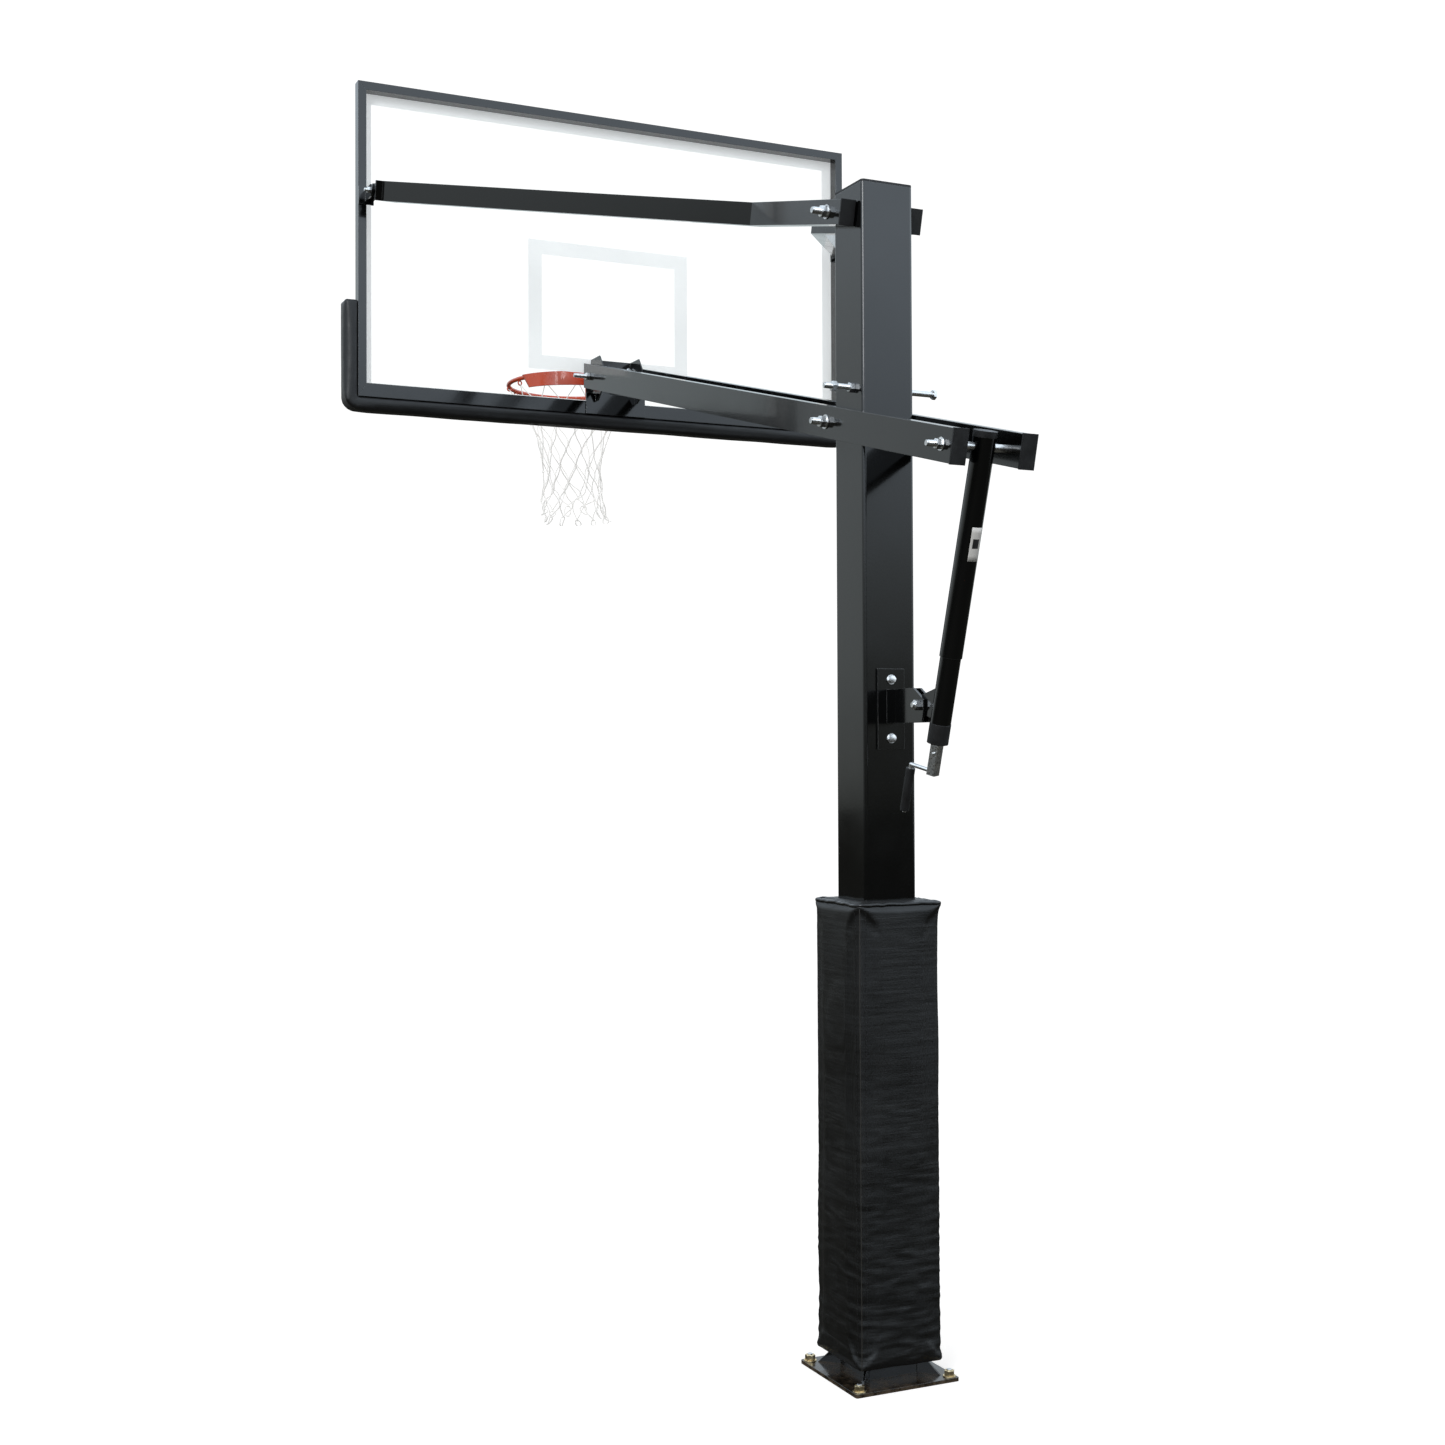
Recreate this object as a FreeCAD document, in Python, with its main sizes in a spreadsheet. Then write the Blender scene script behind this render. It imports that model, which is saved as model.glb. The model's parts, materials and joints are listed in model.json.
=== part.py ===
import FreeCAD, Part
import math
import os
import re

import Sketcher

# Bolt-down adjustable basketball hoop. Millimetres, +Z up, +Y towards the crank, -Y towards the court,
# +X to the left of someone who stands behind the board. The origin is the centre of the base plate's
# underside, on the post's axis. The arms form a parallelogram, so the board stays upright as it is raised.

Vector = FreeCAD.Vector
X_AXIS = Vector(1, 0, 0)
Y_AXIS = Vector(0, 1, 0)
Z_AXIS = Vector(0, 0, 1)

SIZES = [
    # post and base
    ("post_side", 152.4), ("post_wall", 4.8), ("post_corner", 9), ("post_height", 3120),
    ("cap_thick", 6), ("cap_skirt", 25), ("cap_wall", 3), ("cap_gap", 0.5),
    ("hole_gap", 0.05),
    ("base_side", 304.8), ("base_thick", 9.5), ("base_corner", 6),
    ("anchor_pitch", 266.7), ("anchor_dia", 15.88), ("anchor_thread", 15.2), ("anchor_hole", 18),
    ("anchor_below", 130), ("anchor_proud", 3), ("anchor_washer_dia", 34), ("anchor_washer_thick", 2.8),
    ("gusset_thick", 6.4), ("gusset_reach", 62), ("gusset_rise", 62), ("gusset_slot_gap", 2),
    # post pad
    ("pad_side", 251), ("pad_cover", 2), ("pad_bottom", 45), ("pad_height", 1200), ("pad_gap", 0.6),
    ("pad_corner", 16),
    # linkage
    ("arm_pitch", 14.27), ("arm_span", 1793.4), ("link_rise", 552), ("link_back", 20),
    ("lower_pivot_back", 52), ("lower_pivot_height", 2503),
    ("lower_wide", 40), ("lower_deep", 84), ("lower_wall", 3.5), ("lower_rear", 638), ("lower_nose", 54.5),
    ("lower_gap", 0.9), ("upper_wide", 40), ("upper_deep", 64), ("upper_wall", 3), ("upper_rear", 74),
    ("upper_gap", 5.3), ("upper_bend", 475), ("upper_setback", 45), ("end_cap", 5), ("end_cap_lip", 1.5),
    ("end_plug", 14), ("end_plug_gap", 0.3), ("lug_thick", 12), ("lug_radius", 22), ("lug_inboard", 40),
    ("end_plate", 8),
    # pivots
    ("pivot_dia", 19.05), ("running_gap", 0.08), ("open_gap", 0.6), ("side_pivot_dia", 12.7),
    ("front_pivot_dia", 15.88), ("thread_proud", 26), ("front_thread_proud", 44), ("pivot_washer", 2.7),
    ("washer_gap", 0.3), ("sleeve_gap", 1), ("stop_back", 25), ("stop_height", 2583), 
    ("stop_length", 328), ("stop_end", 36),
    # jack
    ("jack_tilt", 16.8), ("jack_pin_reach", 592), ("jack_pin_dia", 15.88),
    ("jack_outer_dia", 57), ("jack_wall", 2), ("jack_top", 36), ("jack_outer_end", 517),
    ("jack_lid", 4), ("jack_lid_skirt", 12), ("jack_lid_lip", 1.5), ("jack_lid_gap", 0.1),
    ("jack_inner_dia", 52.2), ("jack_inner_top", 150), ("jack_inner_end", 687),
    ("jack_cap_dia", 54), ("jack_cap_long", 51), ("drive_dia", 32), ("drive_wall", 3), ("drive_end", 400),
    ("drive_top", 24), ("bearing_wall", 6), ("bearing_floor", 20),
    ("drive_nut_flats", 34), ("drive_nut_long", 30), ("screw_dia", 19), ("screw_neck_dia", 13),
    ("screw_top", 170), ("screw_collar", 8), ("sleeve_dia", 20),
    ("bracket_wide", 80), ("bracket_tall", 210), ("bracket_thick", 6), ("bracket_height", 1740.5),
    ("bracket_bolt_pitch", 153), ("bracket_bolt_dia", 12.7), ("bracket_washer_dia", 26),
    ("bracket_washer", 2), ("bracket_bolt_end", 12), ("ear_cut", 14), ("ear_nose", 22), ("ear_slope", 26),
    ("jack_pivot_back", 240), ("jack_pivot_height", 1747),
    ("ear_gap", 14), ("ear_side_gap", 1), ("ear_thick", 6), ("ear_tall", 88), ("lug_hole_gap", 6.6),
    ("lug_eye", 24),
    ("lug_foot", 90),
    # crank
    ("yoke_side", 25), ("yoke_corner", 3), ("yoke_lip", 9), ("crank_pin_dia", 6), ("crank_pin_proud", 6),
    ("crank_pin_drop", 764), ("crank_arm_drop", 812), ("crank_swing", 24), ("crank_reach", 68),
    ("crank_rod_dia", 11), ("grip_dia", 24), ("grip_long", 112), ("grip_gap", 0.3), ("grip_drop", 10),
    ("spindle_end", 4),
    # board
    ("board_wide", 1845), ("board_tall", 1060), ("board_behind", 50), ("board_drop", 121),
    ("rail_deep", 40), ("rail_face", 28), ("bottom_face", 45), ("rail_wall", 2), ("seal_thick", 2),
    ("seal_wide", 18), ("glass_thick", 12.7), ("glass_inset", 8), ("glass_hole_gap", 1.5),
    ("print_thick", 0.4), ("patch_inset", 1), ("seal_hole_gap", 1), ("border_wide", 50),
    ("target_wide", 610), ("target_tall", 457),
    ("target_line", 50), ("target_rise", 155), ("board_pad_thick", 42), ("board_pad_rise", 323),
    ("board_pad_lip", 34), ("board_pad_front", 15), ("board_pad_gap", 1),
    # mounts behind and in front of the glass
    ("mount_side_gap", 0.7), ("mount_plate", 6), ("mount_ear", 4.4), ("mount_top", 200),
    ("foot_half", 112), ("foot_tall", 73), ("rim_bolt_x", 127), ("rim_bolt_z", 101.6),
    ("rim_bolt_low", 70), ("rim_bolt_dia", 9.53), ("rim_bolt_proud", 16), ("side_ear_thick", 6),
    ("side_ear_gap", 1), ("side_ear_tall", 40), ("side_base_tall", 60), ("side_thread_proud", 9),
    ("lug_rail_gap", 1.5),
    ("mount_nose", 26), ("mount_below", 30), ("mount_above", 34), ("mount_heel", 22), ("mount_brow", 8),
    # rim
    ("ring_bore", 457), ("ring_rod", 16), ("ring_reach", 385), ("ring_rise", 183), ("rim_plate_half", 90),
    ("rim_plate", 6), ("rim_plate_tall", 160), ("rim_plate_top", 20), ("rim_gasket", 1.5),
    ("hinge_front", 28), ("hinge_below_ring", 7), ("hinge_dia", 12), ("neck_half", 44), ("neck_plate", 6),
    ("tail_front", 44), ("tail_drop", 112), ("tail_wide", 22), ("tail_top", 20), ("neck_heel", 14), 
    ("brace_tall", 50), ("brace_thick", 5), ("brace_angle", 66),
    ("brace_slant", 16), ("weld_gap", 0.2), ("hinge_side_gap", 1), ("hinge_pin_proud", 4),
    ("ear_rim_tall", 36), ("ear_rim_front", 14), ("spring_dia", 24), ("spring_bore", 14), ("spring_x", 20),
    ("spring_front", 36), ("spring_gap", 0.3), ("shelf_half", 35), ("shelf_thick", 6),
    ("shelf_drop", 94), ("shelf_front", 16), ("spring_stud_dia", 8),
    ("spring_head_flats", 18), ("spring_head_tall", 6), ("spring_nut_flats", 14), ("spring_nut_tall", 7),
    ("spring_stud_proud", 12),
    ("hook_rod", 5), ("hook_loop", 10), ("net_long", 480), ("net_low_dia", 250), ("net_flare", 14),
    ("net_wall", 4),
]
SIZE = dict(SIZES)
NET_HOOKS = 12

doc = FreeCAD.newDocument("basketball_hoop")
sheet = doc.addObject("Spreadsheet::Sheet", "dims")
for row, (alias, number) in enumerate(SIZES, start=1):
    sheet.set(f"A{row}", alias.replace("_", " "))
    sheet.set(f"B{row}", str(number))
    sheet.setAlias(f"B{row}", alias)
doc.recompute()

# Expressions that several pieces share.
POST_HALF = "post_side / 2"
FRONT_Y = "(-lower_pivot_back - arm_span * cos(arm_pitch))"
FRONT_Z = "(lower_pivot_height + arm_span * sin(arm_pitch))"
UPPER_Y = "(-lower_pivot_back + link_back)"
UPPER_Z = "(lower_pivot_height + link_rise)"
SIDE_Y = f"({FRONT_Y} + link_back)"
SIDE_Z = f"({FRONT_Z} + link_rise)"
JACK_Y = "(-lower_pivot_back + jack_pin_reach * cos(arm_pitch))"
JACK_Z = "(lower_pivot_height - jack_pin_reach * sin(arm_pitch))"
BOARD_BACK = f"({FRONT_Y} - board_behind)"
BOARD_LOW = f"({FRONT_Z} - board_drop)"
RAIL_FRONT = f"({BOARD_BACK} - rail_deep)"
GLASS_BACK = f"({RAIL_FRONT} - seal_thick)"
GLASS_FRONT = f"({GLASS_BACK} - glass_thick)"
PLATE_FRONT = f"({GLASS_FRONT} - rim_gasket - rim_plate)"
RING_Y = f"({GLASS_FRONT} - ring_reach)"
RING_Z = f"({BOARD_LOW} + ring_rise)"
RING_RADIUS = "(ring_bore / 2 + ring_rod / 2)"
HINGE_Y = f"({PLATE_FRONT} - hinge_front)"
HINGE_Z = f"({RING_Z} - hinge_below_ring)"
SPRING_Y = f"({HINGE_Y} - spring_front)"
SHELF_Z = f"({RING_Z} - shelf_drop)"
LOWER_X = f"({POST_HALF} + lower_gap + lower_wide / 2)"
UPPER_X = f"({POST_HALF} + upper_gap + upper_wide / 2)"
LUG_X = "(board_wide / 2 - rail_face - lug_thick / 2 - lug_rail_gap)"
MOUNT_Z = f"({BOARD_LOW} + mount_top)"
MOUNT_HALF = f"({POST_HALF} + lower_gap - mount_side_gap)"
SIDE_START = f"({LUG_X} - lug_thick / 2 - side_ear_gap - side_ear_thick)"
JACK_OFFSET = (f"(({JACK_Y} - jack_pivot_back) * cos(jack_tilt)"
               f" - ({JACK_Z} - jack_pivot_height) * sin(jack_tilt))")
JACK_DROP = (f"(({JACK_Y} - jack_pivot_back) * sin(jack_tilt)"
             f" + ({JACK_Z} - jack_pivot_height) * cos(jack_tilt))")
GUSSET_ROOT = f"(({POST_HALF} - post_corner) * sqrt(2))"
GUSSET_FACE = f"({GUSSET_ROOT} + post_corner)"


def bound(text):
    """The expression with each size's name pointing at its cell."""
    def cell(match):
        word = match.group(0)
        return "dims." + word if word in SIZE else word

    return re.sub(r"\b[a-z][a-z_]+\b", cell, text)


def bind(thing, path, value):
    thing.setExpression(path, bound(str(value)))


def place(thing, at=(0, 0, 0), axis=Z_AXIS, angle=0, flip=None):
    """Put an object at (x, y, z), turned about axis; flip is a fixed turn made first."""
    thing.Placement = FreeCAD.Placement(Vector(0, 0, 0), flip or FreeCAD.Rotation(axis, 1))
    for letter, value in zip("xyz", at):
        bind(thing, "Placement.Base." + letter, value)
    if flip is None:
        bind(thing, "Placement.Rotation.Angle", angle)
    return thing


def block(name, sizes, at, **turn):
    thing = doc.addObject("Part::Box", name)
    for prop, value in zip(("Length", "Width", "Height"), sizes):
        bind(thing, prop, value)
    return place(thing, at, **turn)


TURN = {"x": FreeCAD.Rotation(Y_AXIS, 90), "y": FreeCAD.Rotation(X_AXIS, -90), "z": FreeCAD.Rotation()}


def rod(name, radius, length, at, along="z"):
    """A round bar that starts at (x, y, z) and runs along +x, +y or +z."""
    thing = doc.addObject("Part::Cylinder", name)
    bind(thing, "Radius", radius)
    bind(thing, "Height", length)
    return place(thing, at, flip=TURN[along])


def hexagon(name, across_flats, length, at, along="z"):
    thing = doc.addObject("Part::Prism", name)
    thing.Polygon = 6
    bind(thing, "Circumradius", f"({across_flats}) / sqrt(3)")
    bind(thing, "Height", length)
    return place(thing, at, flip=TURN[along])


def join(kind, label, parts):
    thing = doc.addObject(kind, label)
    if kind == "Part::Compound":
        thing.Links = parts
    else:
        thing.Shapes = parts
    return thing


def fuse(label, *parts):
    return join("Part::MultiFuse", label, list(parts))


def group(label, *parts):
    return join("Part::Compound", label, list(parts))


def cut(label, base, *tools):
    thing = doc.addObject("Part::Cut", label)
    thing.Base = base
    thing.Tool = tools[0] if len(tools) == 1 else group(label + "_tools", *tools)
    return thing


def mirror(label, source):
    thing = doc.addObject("Part::Mirroring", label)
    thing.Source = source
    thing.Normal = X_AXIS
    return thing


def sketch_on(body, plane, name):
    sketch = body.newObject("Sketcher::SketchObject", name)
    face = next(item for item in body.Origin.OriginFeatures if item.Role == plane)
    sketch.AttachmentSupport = [(face, "")]
    sketch.MapMode = "FlatFace"
    return sketch


def outline(name, points, depth, plane="XY_Plane", both_ways=False):
    """A plate whose straight-sided outline has bound corner points, padded by depth."""
    body = doc.addObject("PartDesign::Body", name)
    sketch = sketch_on(body, plane, name + "_outline")
    turns = [math.radians(90 - 360 * i / len(points)) for i in range(len(points))]
    guess = [Vector(1000 * math.cos(t), 1000 * math.sin(t), 0) for t in turns]
    count = len(points)
    lines = [Part.LineSegment(guess[i], guess[(i + 1) % count]) for i in range(count)]
    sketch.addGeometry(lines, False)
    for i in range(count):
        sketch.addConstraint(Sketcher.Constraint("Coincident", i, 2, (i + 1) % count, 1))
    for i, point in enumerate(points):
        sides = (("DistanceX", point[0], guess[i].x), ("DistanceY", point[1], guess[i].y))
        for kind, value, start in sides:
            index = sketch.addConstraint(Sketcher.Constraint(kind, -1, 1, i, 1, start))
            bind(sketch, f"Constraints[{index}]", value)
    pad = body.newObject("PartDesign::Pad", name + "_pad")
    pad.Profile = sketch
    pad.Midplane = both_ways
    bind(pad, "Length", depth)
    return body


def bar(name, wide, deep, length, corner):
    """A square bar with rounded long edges, centred on its axis, from z = 0 up."""
    half = (f"({wide}) / 2", f"({deep}) / 2")
    points = [(f"-{half[0]}", f"-{half[1]}"), (half[0], f"-{half[1]}"), half, (f"-{half[0]}", half[1])]
    body = outline(name, points, length)
    doc.recompute()
    pad = body.Tip
    edges = [f"Edge{i}" for i, edge in enumerate(pad.Shape.Edges, start=1)
             if abs(edge.tangentAt(edge.FirstParameter).z) > 0.99]
    fillet = body.newObject("PartDesign::Fillet", name + "_fillet")
    fillet.Base = (pad, edges)
    bind(fillet, "Radius", corner)
    body.Tip = fillet
    return body


NODES = []


def node(thing, label=None):
    thing.Label = label or thing.Name
    NODES.append(thing)
    return thing


def nut_on(name, dia, at, along="x"):
    """A hexagon nut with its bore, seated at (x, y, z)."""
    body = hexagon(name + "_hex", f"{dia} * 1.5", f"{dia} * 0.85", at, along)
    bore = rod(name + "_bore", f"{dia} / 2 + hole_gap", f"{dia} * 0.85", at, along)
    return cut(name, body, bore)


def washer_on(name, dia, outer, thick, at, along="x"):
    body = rod(name + "_disc", f"({outer}) / 2", thick, at, along)
    bore = rod(name + "_bore", f"({dia}) / 2 + hole_gap", thick, at, along)
    return cut(name, body, bore)


def bolt_x(name, dia, low, high, y, z):
    """A bolt along X: its head sits just outside low, and its thread ends at high."""
    head = hexagon(name + "_head", f"{dia} * 1.5", f"{dia} * 0.62", (f"{low} - {dia} * 0.62", y, z), "x")
    shank = rod(name + "_shank", f"{dia} / 2", f"({high}) - ({low})", (low, y, z), "x")
    return fuse(name, head, shank)


# ---- base plate, gussets and anchors ------------------------------------------------------------

def gusset_set(name, extra):
    """Four upright plates on the post's diagonals, grown by extra on every side."""
    low = "base_thick"
    high = f"base_thick + gusset_rise + {extra}"
    points = [(GUSSET_ROOT, low), (f"{GUSSET_FACE} + gusset_reach + 2 * {extra}", low),
              (f"{GUSSET_FACE} + 2 * {extra}", high), (GUSSET_ROOT, high)]
    plates = []
    for i in range(4):
        plate = outline(f"{name}_{i}", points, f"gusset_thick + 2 * {extra}", "XZ_Plane", True)
        plates.append(place(plate, angle=45 + 90 * i))
    return plates


def make_base():
    plate = bar("base_blank", "base_side", "base_side", "base_thick", "base_corner")
    corners = [(sx, sy) for sx in ("-", "") for sy in ("-", "")]
    spots = [(f"{sx}anchor_pitch / 2", f"{sy}anchor_pitch / 2") for sx, sy in corners]
    holes = [rod(f"anchor_hole_{i}", "anchor_hole / 2", "base_thick", (x, y, 0))
             for i, (x, y) in enumerate(spots)]
    node(cut("base_plate", plate, *holes))
    post_foot = bar("gusset_trim", "post_side", "post_side", "gusset_rise", "post_corner")
    place(post_foot, (0, 0, "base_thick"))
    node(cut("base_gussets", group("gusset_blanks", *gusset_set("gusset", "0")), post_foot))
    top = "base_thick + anchor_washer_thick + anchor_dia * 0.85 + anchor_proud"
    studs, washers, nuts = [], [], []
    for i, (x, y) in enumerate(spots):
        shank = rod(f"stud_shank_{i}", "anchor_dia / 2", "anchor_below", (x, y, "-anchor_below"))
        thread = rod(f"stud_thread_{i}", "anchor_thread / 2", top, (x, y, 0))
        studs.append(fuse(f"stud_{i}", shank, thread))
        washers.append(washer_on(f"anchor_washer_{i}", "anchor_dia", "anchor_washer_dia",
                                 "anchor_washer_thick", (x, y, "base_thick"), "z"))
        seat = "base_thick + anchor_washer_thick"
        nuts.append(nut_on(f"anchor_nut_{i}", "anchor_dia", (x, y, seat), "z"))
    node(group("anchor_studs", *studs))
    node(group("anchor_washers", *washers))
    node(group("anchor_nuts", *nuts))


# ---- post, cap and pad --------------------------------------------------------------------------

def make_post():
    tall = "post_height - base_thick - cap_thick"
    outer = bar("post_outer", "post_side", "post_side", tall, "post_corner")
    place(outer, (0, 0, "base_thick"))
    inside = "post_side - 2 * post_wall"
    inner = bar("post_inner", inside, inside, tall, "post_corner - post_wall")
    place(inner, (0, 0, "base_thick"))
    start = f"-{POST_HALF} - 2"
    holes = []
    for name, dia, y, z in (("lower", "pivot_dia", "-lower_pivot_back", "lower_pivot_height"),
                            ("upper", "pivot_dia", UPPER_Y, UPPER_Z),
                            ("stop", "jack_pin_dia", "stop_back", "stop_height")):
        holes.append(rod(f"post_{name}_hole", f"{dia} / 2 + hole_gap", "post_side + 4", (start, y, z), "x"))
    for i, sign in enumerate(("-", "+")):
        height = f"bracket_height {sign} bracket_bolt_pitch / 2"
        holes.append(rod(f"post_bracket_hole_{i}", "bracket_bolt_dia / 2 + hole_gap", "post_wall + 4",
                         (0, f"{POST_HALF} - post_wall - 2", height), "y"))
    node(cut("post_tube", outer, inner, *holes))
    cap_z = "post_height - cap_thick"
    lid = bar("cap_lid", "post_side", "post_side", "cap_thick", "post_corner")
    place(lid, (0, 0, cap_z))
    skirt_side = f"{inside} - 2 * cap_gap"
    skirt = bar("cap_skirt_outer", skirt_side, skirt_side, "cap_skirt", "post_corner - post_wall")
    place(skirt, (0, 0, f"{cap_z} - cap_skirt"))
    room = f"({skirt_side} - 2 * cap_wall)"
    hollow = block("cap_skirt_inner", (room, room, "cap_skirt"),
                   (f"-{room} / 2", f"-{room} / 2", f"{cap_z} - cap_skirt"))
    node(cut("post_cap", fuse("cap_solid", lid, skirt), hollow))


def make_post_pad():
    core_side = "pad_side - 2 * pad_cover"
    hole_side = "post_side + 2 * pad_gap"
    core_tall = "pad_height - 2 * pad_cover"
    core = bar("foam_blank", core_side, core_side, core_tall, "pad_corner - pad_cover")
    place(core, (0, 0, "pad_bottom + pad_cover"))
    hole = bar("foam_hole", hole_side, hole_side, core_tall, "post_corner")
    place(hole, (0, 0, "pad_bottom + pad_cover"))
    slots = group("gusset_slots", *gusset_set("gusset_slot", "gusset_slot_gap"))
    node(cut("post_pad_foam", core, hole, slots))
    skin = bar("cover_blank", "pad_side", "pad_side", "pad_height", "pad_corner")
    place(skin, (0, 0, "pad_bottom"))
    room = bar("cover_room", core_side, core_side, core_tall, "pad_corner - pad_cover")
    place(room, (0, 0, "pad_bottom + pad_cover"))
    sleeve = bar("cover_hole", hole_side, hole_side, "pad_height", "post_corner")
    place(sleeve, (0, 0, "pad_bottom"))
    node(cut("post_pad_cover", skin, room, sleeve, slots))


# ---- bolts through the post ---------------------------------------------------------------------

def make_post_bolts():
    lower_out = f"({LOWER_X} + lower_wide / 2 + washer_gap + pivot_washer)"
    upper_out = f"({UPPER_X} + upper_wide / 2 + washer_gap + pivot_washer)"
    proud = "pivot_dia * 0.85 + thread_proud"
    node(bolt_x("lower_pivot_bolt", "pivot_dia", f"-{lower_out}", f"{lower_out} + {proud}",
                "-lower_pivot_back", "lower_pivot_height"))
    node(bolt_x("upper_pivot_bolt", "pivot_dia", f"-{upper_out}", f"{upper_out} + {proud}", UPPER_Y, UPPER_Z))
    node(bolt_x("travel_stop_bolt", "jack_pin_dia", "-stop_length / 2", "stop_length / 2",
                "stop_back", "stop_height"))
    nuts = [nut_on("lower_pivot_nut", "pivot_dia", (lower_out, "-lower_pivot_back", "lower_pivot_height")),
            nut_on("upper_pivot_nut", "pivot_dia", (upper_out, UPPER_Y, UPPER_Z)),
            nut_on("stop_nut", "jack_pin_dia", ("stop_length / 2 - stop_end", "stop_back", "stop_height")),
            nut_on("stop_jam_nut", "jack_pin_dia", (POST_HALF, "stop_back", "stop_height"))]
    node(group("post_bolt_nuts", *nuts))
    wide = "pivot_dia * 2"
    washers = []
    for i, (edge, y, z, gap) in enumerate((
            (f"{LOWER_X} + lower_wide / 2", "-lower_pivot_back", "lower_pivot_height", "lower_gap"),
            (f"{UPPER_X} + upper_wide / 2", UPPER_Y, UPPER_Z, "upper_gap"))):
        spacer = f"{gap} - washer_gap"
        for name, thick, x in (("outer_washer", "pivot_washer", f"{edge} + washer_gap"),
                               ("head_washer", "pivot_washer", f"-({edge}) - washer_gap - pivot_washer"),
                               ("left_spacer", spacer, POST_HALF),
                               ("right_spacer", spacer, f"-{POST_HALF} - ({spacer})")):
            washers.append(washer_on(f"{name}_{i}", "pivot_dia", wide, thick, (x, y, z)))
    node(group("pivot_washers", *washers))


# ---- jack bracket on the post -------------------------------------------------------------------

def make_jack_bracket():
    plate = block("bracket_plate", ("bracket_wide", "bracket_thick", "bracket_tall"),
                  ("-bracket_wide / 2", POST_HALF, "bracket_height - bracket_tall / 2"))
    root = f"{POST_HALF} + bracket_thick - 1"
    low = "jack_pivot_height - ear_tall / 2"
    high = "jack_pivot_height + ear_tall / 2"
    nose = "jack_pivot_back + ear_nose"
    points = [(root, low), ("jack_pivot_back + ear_cut", low), (nose, "jack_pivot_height - ear_cut"),
              (nose, "jack_pivot_height + ear_cut"), ("jack_pivot_back - ear_slope", high), (root, high)]
    ears = []
    for i, x in enumerate(("ear_gap / 2", "-ear_gap / 2 - ear_thick")):
        ear = outline(f"bracket_ear_{i}", points, "ear_thick", "YZ_Plane")
        ears.append(place(ear, (x, 0, 0)))
    reach = "ear_gap + 2 * ear_thick + 4"
    holes = [rod("bracket_pivot_hole", "jack_pin_dia / 2 + hole_gap", reach,
                 (f"-({reach}) / 2", "jack_pivot_back", "jack_pivot_height"), "x")]
    for i, sign in enumerate(("-", "+")):
        holes.append(rod(f"bracket_bolt_hole_{i}", "bracket_bolt_dia / 2 + hole_gap", "bracket_thick + 4",
                         (0, f"{POST_HALF} - 2", f"bracket_height {sign} bracket_bolt_pitch / 2"), "y"))
    node(cut("jack_bracket", fuse("bracket_weldment", plate, *ears), *holes))
    bolts = []
    for i, sign in enumerate(("-", "+")):
        height = f"bracket_height {sign} bracket_bolt_pitch / 2"
        seat = f"{POST_HALF} + bracket_thick"
        head = hexagon(f"bracket_bolt_head_{i}", "bracket_bolt_dia * 1.5", "bracket_bolt_dia * 0.62",
                       (0, f"{seat} + bracket_washer", height), "y")
        washer = rod(f"bracket_bolt_washer_{i}", "bracket_washer_dia / 2", "bracket_washer",
                     (0, seat, height), "y")
        shank = rod(f"bracket_bolt_shank_{i}", "bracket_bolt_dia / 2",
                    "bracket_thick + post_wall + bracket_bolt_end",
                    (0, f"{POST_HALF} - post_wall - bracket_bolt_end", height), "y")
        bolts.append(fuse(f"bracket_bolt_{i}", head, washer, shank))
    node(group("jack_bracket_bolts", *bolts))
    outer = "(ear_gap / 2 + ear_thick)"
    pin = bolt_x("jack_pivot_shank", "jack_pin_dia", f"-{outer}", f"{outer} + jack_pin_dia * 0.85 + 6",
                 "jack_pivot_back", "jack_pivot_height")
    nut = nut_on("jack_pivot_nut", "jack_pin_dia", (outer, "jack_pivot_back", "jack_pivot_height"))
    node(group("jack_pivot_bolt", pin, nut))


# ---- lower arms: straight tubes, drawn along Y from the post pivot --------------------------------

def on_arm(thing, pivot_y, pivot_z):
    return place(thing, (0, pivot_y, pivot_z), axis=X_AXIS, angle="-arm_pitch")


def arm_cap(arm, x):
    """A cap for the rear end of the lower or upper tube: a face, and a plug that fits inside."""
    face = block(f"{arm}_cap_face",
                 (f"{arm}_wide + 2 * end_cap_lip", "end_cap", f"{arm}_deep + 2 * end_cap_lip"),
                 (f"{x} - {arm}_wide / 2 - end_cap_lip", f"{arm}_rear", f"-{arm}_deep / 2 - end_cap_lip"))
    wide = f"({arm}_wide - 2 * {arm}_wall - 2 * end_plug_gap)"
    deep = f"({arm}_deep - 2 * {arm}_wall - 2 * end_plug_gap)"
    plug = block(f"{arm}_cap_plug", (wide, "end_plug + 1", deep),
                 (f"{x} - {wide} / 2", f"{arm}_rear - end_plug", f"-{deep} / 2"))
    return fuse(f"{arm}_cap_left", face, plug)


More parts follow.
